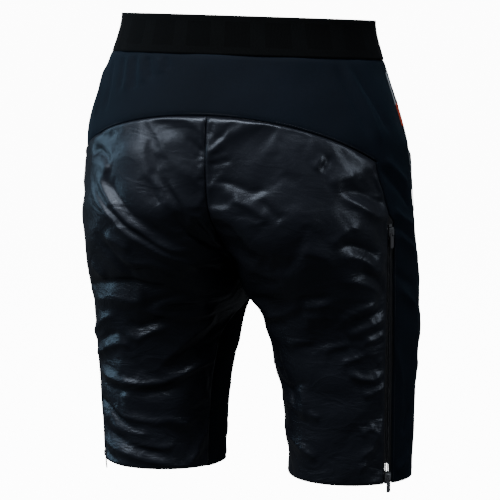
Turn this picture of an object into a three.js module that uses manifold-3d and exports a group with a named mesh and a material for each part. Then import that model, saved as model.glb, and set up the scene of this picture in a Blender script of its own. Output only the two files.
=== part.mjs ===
import * as THREE from 'three';
import { mergeVertices } from 'three/addons/utils/BufferGeometryUtils.js';
import Module from 'manifold-3d';

// Insulated ski shorts with an exposed elastic waistband, a stretch yoke and side panels,
// padded seat and thigh panels, two-way side zips and side pockets.
// Millimetres. +Z is up, the wearer faces -Y, the wearer's left is +X.
// The origin is the centre of the waist opening.

const wasm = await Module();
wasm.setup();

// ---- driving dimensions -------------------------------------------------------------
const LENGTH = 544; // waist rim to hem
const RISE = 318; // waist rim to crotch
const WAIST_HALF_WIDTH = 153;
const WAIST_HALF_DEPTH = 112;
const HIP_HALF_WIDTH = 196;
const HIP_BACK_DEPTH = 138;
const HIP_FRONT_DEPTH = 153;
const LEG_SPREAD = 119; // leg axis from the centre plane, at the hem
const HEM_HALF_WIDTH = 72.5;
const HEM_HALF_DEPTH = 79.5;
const HEM_FORWARD = 51.5; // leg axis ahead of the waist centre, at the hem
const WAIST_TILT = THREE.MathUtils.degToRad(3.4); // the rim is higher at the back

const BAND_HEIGHT = 45;
const BAND_THICKNESS = 2.4;
const STRETCH_THICKNESS = 1.6; // yokes, side panels and inner thigh panels
const SHELL_THICKNESS = 1.2; // outer cloth of the padded panels
const WADDING_THICKNESS = 5.5;
const LINING_THICKNESS = 0.8;
const FACING_HEIGHT = 20;

const YOKE_DROP_BACK = 110; // yoke seam below the rim, at the centre back
const YOKE_DROP_FRONT = 124;
const YOKE_SEAM_BOW = 2.2; // exponent of the seam's curve towards the side

const ZIP_TOP_DROP = 236;
const COIL_HALF_WIDTH = 2.9;
const COIL_THICKNESS = 2.2;
const COIL_SLIT = 0.6; // half of the slit that the slider's divider runs in
const TAPE_THICKNESS = 0.8;
const TAPE_WIDTH = 12;
const POCKET_TAPE_WIDTH = 8;
const ZIP_REVEAL = 6.5; // zip axis to the cloth edge
const POCKET_REVEAL = 5.2;
const POCKET_TOP_DROP = 56;
const POCKET_LENGTH = 86;
const POCKET_SLIDER_DROP = 95;
const YOKE_BELOW_POCKET = 16; // yoke seam below the pocket, at the side
const YOKE_DROP_SIDE = POCKET_TOP_DROP + POCKET_LENGTH + YOKE_BELOW_POCKET;
const BAG_BELOW_POCKET = 10;
const STOP_LENGTH = 3;
const STOP_THICKNESS = 3.2;
const ZIP_MARGIN = 2; // a zip tape past its chain, and the hem facing short of the tape

const SLIDER_LENGTH = 10;
const SLIDER_HALF_WIDTH = 4.6;
const SLIDER_PLATE = 1.1;
const PULL_LENGTH = 18;
const POCKET_PULL_LENGTH = 27;
const PULL_WIDTH = 5.6;
const POCKET_PULL_WIDTH = 7;

const TRIM_WIDTH = 3;
const TRIM_THICKNESS = 0.4;
const TRIM_OFFSET = 0.6; // from the cloth edge

const BAG_THICKNESS = 1.2;
const LOOP_WIDTH = 5;
const LOOP_HALF_LENGTH = 28;
const LOOP_THICKNESS = 1.6;
const LOOP_DROP = 9;

// ---- clearances ---------------------------------------------------------------------
const SEAM_GAP = 0.5; // between two panels that meet at a seam
const LAYER_GAP = 0.3; // between a piece and its seat
const CLOTH_GAP = 0.8; // between two layers of cloth
const TAPE_EASE = 0.8; // more room behind the cloth for a zip tape
const SLIDE_GAP = 0.75; // slider to coil
const LIP_GAP = 1.1; // slider lip to tape, which turns a little along the zip

const deg = THREE.MathUtils.degToRad;

// ---- finishes -----------------------------------------------------------------------
const finish = (color, roughness, metalness = 0) => ({ color, roughness, metalness });
const FINISH = {
  elastic: finish(0x08090b, 0.95),
  stretch: finish(0x0c1220, 0.85),
  shell: finish(0x11131d, 0.38),
  wadding: finish(0xd8d8d4, 1.0),
  lining: finish(0x0b0c10, 0.7),
  tape: finish(0x07080a, 0.9),
  coil: finish(0x0a0c10, 0.45),
  metal: finish(0xb9bcc0, 0.35, 0.9),
  pull: finish(0x1a1b1e, 0.6),
  tab: finish(0xd8402a, 0.6),
  reflective: finish(0x9aa0a4, 0.4),
};

const garment = new THREE.Group();

function addPiece(name, geometry, look, parent = garment) {
  const piece = new THREE.Mesh(geometry, new THREE.MeshStandardMaterial(look));
  piece.name = name;
  parent.add(piece);
  return piece;
}

// ---- the garment's outer surface ----------------------------------------------------
// Each half is an ellipse about its own axis. The two ellipses share the centre plane above
// the crotch and part below it. A station gives, at a drop below the rim, the outer half
// width, the axis spread and the rearmost and foremost depth.
const mix = THREE.MathUtils.lerp;
const hipFlare = (share) => mix(WAIST_HALF_WIDTH, HIP_HALF_WIDTH, share);
const backFill = (share) => mix(WAIST_HALF_DEPTH, HIP_BACK_DEPTH, share);
const frontFill = (share) => mix(WAIST_HALF_DEPTH, HIP_FRONT_DEPTH, share);
const hemHalf = LEG_SPREAD + HEM_HALF_WIDTH;
const hemBack = HEM_HALF_DEPTH - HEM_FORWARD;
const hemFront = HEM_HALF_DEPTH + HEM_FORWARD;
const crotchHalf = HIP_HALF_WIDTH + 4;
const inseam = LENGTH - RISE;

const backLeg = (share) => mix(hemBack, HIP_BACK_DEPTH, share);
const frontLeg = (share) => mix(hemFront, HIP_FRONT_DEPTH, share);
const legHalf = (share) => mix(crotchHalf, hemHalf, share);
const legSpread = (share) => mix(crotchHalf / 2, LEG_SPREAD, share);
const station = (drop, half, spread, back, front) => ({ drop, half, spread, back, front });

const stations = [
  station(0, hipFlare(0), 0, backFill(0), frontFill(0)),
  station(BAND_HEIGHT + 1, hipFlare(0.26), 0, backFill(0.28), frontFill(0.1)),
  station(0.305 * RISE, hipFlare(0.7), 0.045 * crotchHalf, backFill(0.7), frontFill(0.3)),
  station(0.44 * RISE, hipFlare(0.94), 0.12 * crotchHalf, backFill(0.94), frontFill(0.52)),
  station(0.55 * RISE, hipFlare(0.98), 0.19 * crotchHalf, backFill(1), frontFill(0.83)),
  station(0.66 * RISE, hipFlare(1), 0.28 * crotchHalf, backFill(0.98), frontFill(1)),
  station(0.755 * RISE, hipFlare(1.01), 0.375 * crotchHalf, backFill(0.7), frontFill(1.1)),
  station(0.85 * RISE, hipFlare(1.04), 0.45 * crotchHalf, backFill(0.15), frontFill(1.13)),
  station(RISE, legHalf(0), legSpread(0), backLeg(0.5), frontLeg(0.85)),
  station(RISE + 0.18 * inseam, legHalf(0.03), legSpread(0.51), backLeg(0.31), frontLeg(0.3)),
  station(RISE + 0.36 * inseam, legHalf(0.23), legSpread(0.72), backLeg(0.2), frontLeg(0.04)),
  station(RISE + 0.57 * inseam, legHalf(0.5), legSpread(0.92), backLeg(0.11), frontLeg(-0.05)),
  station(LENGTH, legHalf(1), legSpread(1), backLeg(0), frontLeg(0)),
];

// Monotone cubic through one column of the stations, so that no girth overshoots.
function slopeAt(key, i) {
  if (i === 0 || i === stations.length - 1) return 0;
  const slope = (a, b) => (b[key] - a[key]) / (b.drop - a.drop);
  const before = slope(stations[i - 1], stations[i]);
  const after = slope(stations[i], stations[i + 1]);
  return before * after <= 0 ? 0 : (2 * before * after) / (before + after);
}

function girth(key, drop) {
  const d = THREE.MathUtils.clamp(drop, 0, LENGTH);
  let i = 0;
  while (i < stations.length - 2 && d > stations[i + 1].drop) i += 1;
  const span = stations[i + 1].drop - stations[i].drop;
  const t = (d - stations[i].drop) / span;
  const h00 = 2 * t ** 3 - 3 * t ** 2 + 1;
  const h10 = t ** 3 - 2 * t ** 2 + t;
  const start = h00 * stations[i][key] + h10 * span * slopeAt(key, i);
  return start + (1 - h00) * stations[i + 1][key] + (t ** 3 - t ** 2) * span * slopeAt(key, i + 1);
}

function section(drop) {
  const spread = girth('spread', drop);
  const back = girth('back', drop);
  const front = girth('front', drop);
  const rx = girth('half', drop) - spread;
  return { spread, rx, ry: (back + front) / 2, centre: (back - front) / 2 };
}

const tiltFade = (drop) => 1 - THREE.MathUtils.smoothstep(drop, BAND_HEIGHT, YOKE_DROP_SIDE);

// angle: 0 points outwards, +90 degrees to the back, -90 degrees to the front.
function rawPoint(side, angle, drop) {
  const s = section(drop);
  const x = side * (s.spread + s.rx * Math.cos(angle));
  const y = s.centre + s.ry * Math.sin(angle);
  return new THREE.Vector3(x, y, -drop + y * Math.tan(WAIST_TILT) * tiltFade(drop));
}

// ---- seam lines on the surface ------------------------------------------------------
const ZIP_ANGLE_TOP = deg(17.5);
const ZIP_ANGLE_HEM = deg(33);
const SEAT_CORNER_ANGLE = deg(25);
const INNER_SEAM_ANGLE = deg(157);
const POCKET_ANGLE_TOP = deg(-6);
const FRONT_SEAM_ANGLE = deg(-24);
const BAG_ANGLE = deg(46);
const ZIP_FLATTEN_ANGLE = deg(40);
const POCKET_FLATTEN_ANGLE = deg(20);

// The rear seam of the side panel: it drops from the yoke's corner to the zip, then follows it.
function rearSeam(drop) {
  const s = THREE.MathUtils.clamp((drop - ZIP_TOP_DROP) / (LENGTH - ZIP_TOP_DROP), 0, 1);
  if (s > 0) return mix(ZIP_ANGLE_TOP, ZIP_ANGLE_HEM, Math.sin((s * Math.PI) / 2));
  const share = THREE.MathUtils.smoothstep(drop, YOKE_DROP_SIDE, ZIP_TOP_DROP);
  return mix(SEAT_CORNER_ANGLE, ZIP_ANGLE_TOP, share);
}

function frontSeam(drop) {
  const share = THREE.MathUtils.smoothstep(drop, 0.28 * RISE, 0.82 * RISE);
  return mix(POCKET_ANGLE_TOP, FRONT_SEAM_ANGLE, share);
}

// The panel's edge at the centre plane above the crotch, and at the inner thigh seam below it.
function innerSeam(drop, gap) {
  const s = section(drop);
  const cosine = (gap / 2 - s.spread) / s.rx;
  const centre = cosine <= -1 ? Math.PI : Math.acos(cosine);
  const taper = THREE.MathUtils.smoothstep(drop, RISE + 0.06 * inseam, RISE + 0.3 * inseam);
  return Math.min(centre, mix(Math.PI, INNER_SEAM_ANGLE, taper) - gap / 2 / s.ry);
}

// ---- straight closures --------------------------------------------------------------
// A zip chain runs on a straight line between two points of the surface, and the cloth
// beside it is drawn onto that line.
const LINE_FADE = 0.15 * RISE;

const chord = (from, to, drop) => from.clone().lerp(to, (drop - from.drop) / (to.drop - from.drop));

function lineEnds(side, seam, top, bottom) {
  const from = Object.assign(rawPoint(side, seam(top), top), { drop: top });
  const to = Object.assign(rawPoint(side, seam(bottom), bottom), { drop: bottom });
  return [from, to];
}

// How far the cloth at an angle and drop moves towards that line. It fades out over `width`
// to either side, and past the ends of the line.
function drawnIn(side, seam, top, bottom, drop, angle, width) {
  const reach = 1 - THREE.MathUtils.smoothstep(Math.abs(angle - seam(drop)), 0, width);
  const inside = THREE.MathUtils.clamp(drop, top, bottom);
  const fade = 1 - THREE.MathUtils.smoothstep(Math.abs(drop - inside), 0, LINE_FADE);
  if (reach * fade === 0) return new THREE.Vector3();
  const [from, to] = lineEnds(side, seam, top, bottom);
  const shift = chord(from, to, inside).sub(rawPoint(side, seam(inside), inside));
  return shift.setZ(0).multiplyScalar(reach * fade);
}

const POCKET_BOTTOM_DROP = POCKET_TOP_DROP + POCKET_LENGTH;

function surfacePoint(side, angle, drop) {
  const toZip = drawnIn(side, rearSeam, ZIP_TOP_DROP, LENGTH, drop, angle, ZIP_FLATTEN_ANGLE);
  const ends = [POCKET_TOP_DROP, POCKET_BOTTOM_DROP];
  const toPocket = drawnIn(side, frontSeam, ...ends, drop, angle, POCKET_FLATTEN_ANGLE);
  return rawPoint(side, angle, drop).add(toZip).add(toPocket);
}

function surfaceNormal(side, angle, drop) {
  const turn = 0.01; // radians
  const step = 2;
  const d = THREE.MathUtils.clamp(drop, step, LENGTH - step);
  const around = surfacePoint(side, angle + turn, d).sub(surfacePoint(side, angle - turn, d));
  const down = surfacePoint(side, angle, d + step).sub(surfacePoint(side, angle, d - step));
  return down.cross(around).multiplyScalar(side).normalize();
}

// A point at a depth below the outer surface, towards the wearer.
function clothPoint(side, angle, drop, depth) {
  return surfacePoint(side, angle, drop).addScaledVector(surfaceNormal(side, angle, drop), -depth);
}

// The angle that a length along the surface takes up.
function spanAngle(angle, drop, length) {
  const s = section(drop);
  return length / Math.hypot(s.rx * Math.sin(angle), s.ry * Math.cos(angle));
}

// ---- solids -------------------------------------------------------------------------
function plainGeometry(geometry) {
  geometry.deleteAttribute('normal');
  geometry.deleteAttribute('uv');
  return mergeVertices(geometry, 1e-4);
}

function signedVolume(geometry) {
  const p = geometry.getAttribute('position');
  const index = geometry.getIndex();
  const corner = [0, 1, 2].map(() => new THREE.Vector3());
  let volume = 0;
  for (let i = 0; i < index.count; i += 3) {
    corner.forEach((c, k) => c.fromBufferAttribute(p, index.getX(i + k)));
    volume += corner[0].dot(corner[1].cross(corner[2])) / 6;
  }
  return volume;
}

function facedOut(geometry) {
  if (signedVolume(geometry) < 0) {
    const index = geometry.getIndex();
    for (let i = 0; i < index.count; i += 3) {
      const first = index.getX(i);
      index.setX(i, index.getX(i + 1));
      index.setX(i + 1, first);
    }
  }
  return geometry;
}

// A box whose inner face is split along the same diagonals as its outer face, so that a bent
// slab has an even thickness and layers of slabs nest.
function gridBox(columns, rows) {
  const box = new THREE.BoxGeometry(1, 1, 1, columns, rows, 1);
  const index = box.getIndex();
  const { start, count } = box.groups[5];
  for (let i = start; i < start + count; i += 6) {
    const [a, b, d, , c] = [0, 1, 2, 3, 4].map((k) => index.getX(i + k));
    [a, b, c, a, c, d].forEach((corner, k) => index.setX(i + k, corner));
  }
  return box;
}

// A closed slab of cells. place(across, down, depth) gives a point for values 0 to 1, where
// depth 0 is the outer face.
function slab(columns, rows, place) {
  const geometry = plainGeometry(gridBox(columns, rows));
  const p = geometry.getAttribute('position');
  for (let i = 0; i < p.count; i += 1) {
    const point = place(p.getX(i) + 0.5, 0.5 - p.getY(i), 0.5 - p.getZ(i));
    p.setXYZ(i, point.x, point.y, point.z);
  }
  return facedOut(geometry);
}

function toManifold(geometry) {
  const vertProperties = Float32Array.from(geometry.getAttribute('position').array);
  const triVerts = Uint32Array.from(geometry.getIndex().array);
  return new wasm.Manifold(new wasm.Mesh({ numProp: 3, vertProperties, triVerts }));
}

function toGeometry(solid) {
  const mesh = solid.getMesh();
  const geometry = new THREE.BufferGeometry();
  geometry.setAttribute('position', new THREE.BufferAttribute(mesh.vertProperties, 3));
  geometry.setIndex(new THREE.BufferAttribute(mesh.triVerts, 1));
  return geometry;
}

// ---- rows shared by the panels ------------------------------------------------------
// Panels that meet along a seam take their rows from the same drops, so their edges agree.
const BAND_SEGMENTS = 48;
const CORNER_ROWS = 4;
const YOKE_ROWS = 7;
const SIDE_COLUMNS = 7;
const FACING_COLUMNS = 24;
const CHAIN_ROWS = 8;
const LEG_LEVELS = [
  ZIP_TOP_DROP,
  mix(ZIP_TOP_DROP, RISE, 0.35),
  mix(ZIP_TOP_DROP, RISE, 0.65),
  RISE - 14,
  RISE - 4,
  RISE + 5,
  RISE + 0.1 * inseam,
  RISE + 0.22 * inseam,
  RISE + 0.4 * inseam,
  RISE + 0.64 * inseam,
  LENGTH - FACING_HEIGHT - 4,
  LENGTH,
];
const PADDED_COLUMNS = 8;
const PANEL_ROWS = CORNER_ROWS + LEG_LEVELS.length - 1;

// Drop of a row of a panel that runs from `top` to the hem.
function panelDrop(top, down) {
  const row = down * PANEL_ROWS;
  if (row <= CORNER_ROWS) return mix(top, ZIP_TOP_DROP, row / CORNER_ROWS);
  const i = Math.min(Math.floor(row + 1e-6) - CORNER_ROWS, LEG_LEVELS.length - 2);
  return mix(LEG_LEVELS[i], LEG_LEVELS[i + 1], row - CORNER_ROWS - i);
}

const yokeSeam = (share, middle) => mix(middle, YOKE_DROP_SIDE, share ** YOKE_SEAM_BOW);

// Half of the opening between the two cloth edges along a seam.
function rearOpening(drop) {
  const share = THREE.MathUtils.smoothstep(drop, ZIP_TOP_DROP - 16, ZIP_TOP_DROP - 5);
  return mix(SEAM_GAP / 2, ZIP_REVEAL, share);
}

function frontOpening(drop) {
  const past = drop - THREE.MathUtils.clamp(drop, POCKET_TOP_DROP - 3, POCKET_BOTTOM_DROP + 3);
  return mix(POCKET_REVEAL, SEAM_GAP / 2, THREE.MathUtils.smoothstep(Math.abs(past), 0, 8));
}

const edgeAngle = (seam, opening, drop) => seam(drop) + spanAngle(seam(drop), drop, opening);

// ---- panels -------------------------------------------------------------------------
function makeWaistband() {
  const half = BAND_THICKNESS / 2;
  const radius = WAIST_HALF_DEPTH; // of the round ring, before it takes the waist's shape
  const profile = [[-half, 0], [half, 0], [half, 0.5], [half, 1], [-half, 1], [-half, 0.5], [-half, 0]];
  const ring = profile.map(([x, y]) => new THREE.Vector2(radius + x, y));
  const geometry = plainGeometry(new THREE.LatheGeometry(ring, BAND_SEGMENTS));
  const p = geometry.getAttribute('position');
  for (let i = 0; i < p.count; i += 1) {
    const angle = Math.atan2(p.getZ(i), p.getX(i));
    const depth = radius + half - Math.hypot(p.getX(i), p.getZ(i));
    const drop = p.getY(i) * BAND_HEIGHT;
    const out = rawPoint(1, angle, drop);
    const { rx, ry } = section(drop);
    const flat = new THREE.Vector3(Math.cos(angle) / rx, Math.sin(angle) / ry, 0).normalize();
    out.addScaledVector(flat.setZ(flat.y * Math.tan(WAIST_TILT)), -depth);
    p.setXYZ(i, out.x, out.y, out.z);
  }
  addPiece('waistband_elastic', facedOut(geometry), FINISH.elastic);
}

// One yoke crosses the centre and reaches the pocket seam on both sides.
function makeBackYoke() {
  const centreColumns = PADDED_COLUMNS;
  const perSide = centreColumns + SIDE_COLUMNS;
  const top = BAND_HEIGHT + LAYER_GAP;
  addPiece('back_yoke', slab(2 * perSide, YOKE_ROWS, (across, down, depth) => {
    const side = across < 0.5 ? -1 : 1;
    const column = Math.abs(2 * across - 1) * perSide;
    const share = Math.min(column / centreColumns, 1);
    const forward = Math.max(column - centreColumns, 0) / SIDE_COLUMNS;
    const bottom = yokeSeam(share, YOKE_DROP_BACK) - SEAM_GAP / 2;
    const drop = mix(top, bottom, down);
    const back = mix(innerSeam(drop, 0), rearSeam(drop), share);
    const front = edgeAngle(frontSeam, frontOpening(drop), drop);
    return clothPoint(side, mix(back, front, forward), drop, depth * STRETCH_THICKNESS);
  }), FINISH.stretch);
}

function makeFrontYoke() {
  const perSide = PADDED_COLUMNS;
  const top = BAND_HEIGHT + LAYER_GAP;
  addPiece('front_yoke', slab(2 * perSide, YOKE_ROWS, (across, down, depth) => {
    const side = across < 0.5 ? -1 : 1;
    const share = Math.abs(2 * across - 1);
    const bottom = yokeSeam(share, YOKE_DROP_FRONT) - SEAM_GAP / 2;
    const drop = mix(top, bottom, down);
    const outer = edgeAngle(frontSeam, -frontOpening(drop), drop);
    return clothPoint(side, mix(-innerSeam(drop, 0), outer, share), drop, depth * STRETCH_THICKNESS);
  }), FINISH.stretch);
}

// A layer of a padded panel, between its outer seam and the centre or inner thigh seam.
// The layers share one grid of cells, and `border` is how many cells an inner layer stops
// short of the seams.
function paddedLayer(name, side, facing, look, { border, depth: outer, thickness }) {
  const seam = facing > 0 ? rearSeam : frontSeam;
  const opening = facing > 0 ? rearOpening : frontOpening;
  const middle = facing > 0 ? YOKE_DROP_BACK : YOKE_DROP_FRONT;
  const columns = PADDED_COLUMNS - 2 * border;
  const rows = PANEL_ROWS - 2 * border;
  addPiece(name, slab(columns, rows, (across, down, depth) => {
    const share = (border + across * columns) / PADDED_COLUMNS;
    const top = yokeSeam(share, middle) + SEAM_GAP / 2;
    const drop = panelDrop(top, (border + down * rows) / PANEL_ROWS);
    const inner = facing * innerSeam(drop, SEAM_GAP);
    const edge = edgeAngle(seam, facing * opening(drop), drop);
    return clothPoint(side, mix(inner, edge, share), drop, outer + depth * thickness);
  }), look);
}

function makePaddedPanels(side, suffix) {
  const shell = { border: 0, depth: 0, thickness: SHELL_THICKNESS };
  const wadding = { border: 1, depth: SHELL_THICKNESS + CLOTH_GAP, thickness: WADDING_THICKNESS };
  const liningDepth = wadding.depth + WADDING_THICKNESS + CLOTH_GAP;
  const lining = { border: 1, depth: liningDepth, thickness: LINING_THICKNESS };
  [['seat', 1], ['thigh', -1]].forEach(([place, facing]) => {
    paddedLayer(`${place}_shell_${suffix}`, side, facing, FINISH.shell, shell);
    paddedLayer(`${place}_wadding_${suffix}`, side, facing, FINISH.wadding, wadding);
    paddedLayer(`${place}_lining_${suffix}`, side, facing, FINISH.lining, lining);
  });
}

function makeSidePanel(side, suffix) {
  addPiece(`side_panel_${suffix}`, slab(SIDE_COLUMNS, PANEL_ROWS, (across, down, depth) => {
    const drop = panelDrop(YOKE_DROP_SIDE + SEAM_GAP / 2, down);
    const back = edgeAngle(rearSeam, -rearOpening(drop), drop);
    const front = edgeAngle(frontSeam, SEAM_GAP / 2, drop);
    return clothPoint(side, mix(back, front, across), drop, depth * STRETCH_THICKNESS);
  }), FINISH.stretch);
}

function makeInnerThigh(side, suffix) {
  const levels = LEG_LEVELS.slice(LEG_LEVELS.indexOf(RISE + 0.1 * inseam));
  const rows = levels.length - 1;
  addPiece(`inner_thigh_${suffix}`, slab(4, rows, (across, down, depth) => {
    const drop = levels[Math.round(down * rows)];
    const ry = section(drop).ry;
    const half = Math.PI - innerSeam(drop, SEAM_GAP) - SEAM_GAP / ry;
    const angle = Math.PI + mix(-half, half, across);
    return clothPoint(side, angle, drop, depth * STRETCH_THICKNESS);
  }), FINISH.stretch);
}

// Turned-up facing inside each hem, open at the side zip.
function makeHemFacing(side, suffix) {
  const behind = STRETCH_THICKNESS + CLOTH_GAP;
  addPiece(`hem_facing_${suffix}`, slab(FACING_COLUMNS, 1, (across, down, depth) => {
    const drop = mix(LENGTH - FACING_HEIGHT, LENGTH - SEAM_GAP, down);
    const clear = spanAngle(rearSeam(drop), drop, TAPE_WIDTH + COIL_HALF_WIDTH + ZIP_MARGIN);
    const angle = rearSeam(drop) + mix(clear, 2 * Math.PI - clear, across);
    return clothPoint(side, angle, drop, behind + depth * LINING_THICKNESS);
  }), FINISH.lining);
}

// ---- zips ---------------------------------------------------------------------------
const TAPE_DEPTH = STRETCH_THICKNESS + CLOTH_GAP + TAPE_EASE;
const CHAIN_DEPTH = TAPE_DEPTH + TAPE_THICKNESS / 2;

// A straight closure on a seam: place() gives a point from a drop, a distance across
// (positive to the back) and a height above the cloth's outer face.
function closure(side, seam, top, bottom) {
  const [upper, lower] = lineEnds(side, seam, top, bottom);
  const up = upper.clone().sub(lower).normalize();
  const outward = (drop) => {
    const normal = surfaceNormal(side, seam(drop), drop);
    return normal.addScaledVector(up, -normal.dot(up)).normalize();
  };
  const rearward = (drop) => up.clone().cross(outward(drop)).multiplyScalar(side);
  const axisPoint = (drop) => chord(upper, lower, drop);
  const place = (drop, across, height) =>
    axisPoint(drop).addScaledVector(rearward(drop), across).addScaledVector(outward(drop), height);
  const frameAt = (drop) => {
    const out = outward(drop);
    const basis = new THREE.Matrix4().makeBasis(up.clone().cross(out), up, out);
    return basis.setPosition(axisPoint(drop));
  };
  return { side, seam, place, frameAt };
}

function makeTape(name, zip, hand, from, to, width) {
  addPiece(name, slab(2, CHAIN_ROWS, (across, down, depth) => {
    const drop = mix(from, to, down);
    const start = COIL_HALF_WIDTH + 2 * LAYER_GAP;
    const reach = mix(start, start + width, across);
    const below = TAPE_DEPTH + depth * TAPE_THICKNESS;
    if (across === 0) return zip.place(drop, hand * start, -below);
    const angle = zip.seam(drop) + hand * spanAngle(zip.seam(drop), drop, reach);
    return clothPoint(zip.side, angle, drop, below);
  }), FINISH.tape);
}

function makeCoil(name, zip, hand, from, to) {
  addPiece(name, slab(1, CHAIN_ROWS, (across, down, depth) => {
    const drop = mix(from, to, down);
    const height = -CHAIN_DEPTH + (0.5 - depth) * COIL_THICKNESS;
    return zip.place(drop, hand * mix(COIL_SLIT, COIL_HALF_WIDTH, across), height);
  }), FINISH.coil);
}

function makeStop(name, zip, from, to) {
  addPiece(name, slab(1, 1, (across, down, depth) => {
    const height = -CHAIN_DEPTH + (0.5 - depth) * STOP_THICKNESS;
    return zip.place(mix(from, to, down), mix(-1, 1, across) * COIL_HALF_WIDTH, height);
  }), FINISH.metal);
}

const boxSolid = (x, y, z, width, height, depth) =>
  toManifold(plainGeometry(new THREE.BoxGeometry(width, height, depth).translate(x, y, z)));

// Slider: two plates joined by a thin divider, lips round the tape, and a crown for the pull.
const CHANNEL_OUT = -CHAIN_DEPTH + COIL_THICKNESS / 2 + SLIDE_GAP;
const CHANNEL_IN = -CHAIN_DEPTH - COIL_THICKNESS / 2 - SLIDE_GAP;
const LIP_WIDTH = 0.8;
const DIVIDER_LENGTH = 4;
const CROWN_LENGTH = 6.4;
const CROWN_WIDTH = 2;
const CROWN_WALL = 1;
const CROWN_SINK = 0.2; // how far the crown and the lips reach into the plates
const PIN_RADIUS = 0.6;
const PIN_SIDES = 16;
const PULL_HALF_THICKNESS = 0.5;
const PULL_WINDOW = 4;
const CROWN_EYE = 2 * (PIN_RADIUS + LAYER_GAP);
const PIVOT_HEIGHT = CHANNEL_OUT + SLIDER_PLATE + LAYER_GAP + PIN_RADIUS;
const PIVOT_DOWN = CROWN_LENGTH / 2 - CROWN_WALL - LAYER_GAP - PIN_RADIUS;

function plateOutline() {
  const shape = new THREE.Shape();
  const w = SLIDER_HALF_WIDTH;
  const h = SLIDER_LENGTH / 2;
  shape.moveTo(-w * 0.72, -h);
  shape.lineTo(w * 0.72, -h);
  shape.quadraticCurveTo(w, -h, w, -h * 0.4);
  shape.lineTo(w, h * 0.6);
  shape.quadraticCurveTo(w, h, w * 0.6, h);
  shape.lineTo(-w * 0.6, h);
  shape.quadraticCurveTo(-w, h, -w, h * 0.6);
  shape.lineTo(-w, -h * 0.4);
  shape.quadraticCurveTo(-w, -h, -w * 0.72, -h);
  return shape;
}

function plateSolid(height) {
  const options = { depth: SLIDER_PLATE, bevelEnabled: false, curveSegments: 3 };
  const geometry = new THREE.ExtrudeGeometry(plateOutline(), options);
  return toManifold(plainGeometry(geometry.translate(0, 0, height)));
}

function crownSolid() {
  const base = CHANNEL_OUT + SLIDER_PLATE - CROWN_SINK;
  const rise = CROWN_SINK + CROWN_EYE + CROWN_WALL;
  const outer = boxSolid(0, 0, base + rise / 2, CROWN_WIDTH, CROWN_LENGTH, rise);
  const eyeHeight = CROWN_SINK + CROWN_EYE;
  const eyeLength = CROWN_LENGTH - 2 * CROWN_WALL;
  const eye = boxSolid(0, 0, base + eyeHeight / 2, 2 * CROWN_WIDTH, eyeLength, eyeHeight);
  return outer.subtract(eye);
}

function sliderGeometry() {
  const span = CHANNEL_OUT - CHANNEL_IN;
  const lip = (span - TAPE_THICKNESS) / 2 - LIP_GAP;
  const lipX = SLIDER_HALF_WIDTH - LIP_WIDTH / 2;
  const lipLength = SLIDER_LENGTH * 0.7;
  const lipBox = [LIP_WIDTH, lipLength, lip + CROWN_SINK];
  const lipMiddle = (lip - CROWN_SINK) / 2;
  const dividerWidth = 2 * (COIL_SLIT - LAYER_GAP);
  const divider = boxSolid(0, 1, -CHAIN_DEPTH, dividerWidth, DIVIDER_LENGTH, span + 2 * CROWN_SINK);
  let solid = plateSolid(CHANNEL_OUT).add(plateSolid(CHANNEL_IN - SLIDER_PLATE)).add(divider);
  [-1, 1].forEach((hand) => {
    solid = solid.add(boxSolid(hand * lipX, 0, CHANNEL_OUT - lipMiddle, ...lipBox));
    solid = solid.add(boxSolid(hand * lipX, 0, CHANNEL_IN + lipMiddle, ...lipBox));
  });
  return toGeometry(solid.add(crownSolid()));
}

// Pull: a plate with a window, closed by the round pin that turns inside the crown.
function pullGeometry(length, width) {
  const windowHalf = CROWN_WIDTH / 2 + PIN_RADIUS;
  const shape = new THREE.Shape();
  const w = width / 2;
  shape.moveTo(-w, 0);
  shape.lineTo(-w, -length + w * 0.5);
  shape.quadraticCurveTo(-w, -length, 0, -length);
  shape.quadraticCurveTo(w, -length, w, -length + w * 0.5);
  shape.lineTo(w, 0);
  shape.lineTo(windowHalf, 0);
  shape.lineTo(windowHalf, -PULL_WINDOW);
  shape.lineTo(-windowHalf, -PULL_WINDOW);
  shape.lineTo(-windowHalf, 0);
  shape.closePath();
  const depth = 2 * PULL_HALF_THICKNESS;
  const options = { depth, bevelEnabled: false, curveSegments: 4 };
  const plate = new THREE.ExtrudeGeometry(shape, options).translate(0, 0, -PULL_HALF_THICKNESS);
  const pin = new THREE.CylinderGeometry(PIN_RADIUS, PIN_RADIUS, width, PIN_SIDES).rotateZ(Math.PI / 2);
  return toGeometry(toManifold(plainGeometry(plate)).add(toManifold(plainGeometry(pin))));
}

function makeSlider(name, zip, drop, { length, width, look }) {
  const group = new THREE.Group();
  zip.frameAt(drop).decompose(group.position, group.quaternion, group.scale);
  addPiece(name.replace('PART', 'slider'), sliderGeometry(), FINISH.metal, group);
  const hanging = new THREE.Group();
  hanging.position.set(0, -PIVOT_DOWN, PIVOT_HEIGHT);
  addPiece(name.replace('PART', 'pull'), pullGeometry(length, width), look, hanging);
  group.add(hanging);
  garment.add(group);
}

const COIL_TOP_DROP = ZIP_TOP_DROP - 1;
const COIL_BOTTOM_DROP = LENGTH - STOP_LENGTH - LAYER_GAP;
const UPPER_SLIDER_DROP = COIL_TOP_DROP + SLIDER_LENGTH / 2 + LAYER_GAP;
const LOWER_SLIDER_DROP = COIL_BOTTOM_DROP - SLIDER_LENGTH / 2 - LAYER_GAP;

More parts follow.
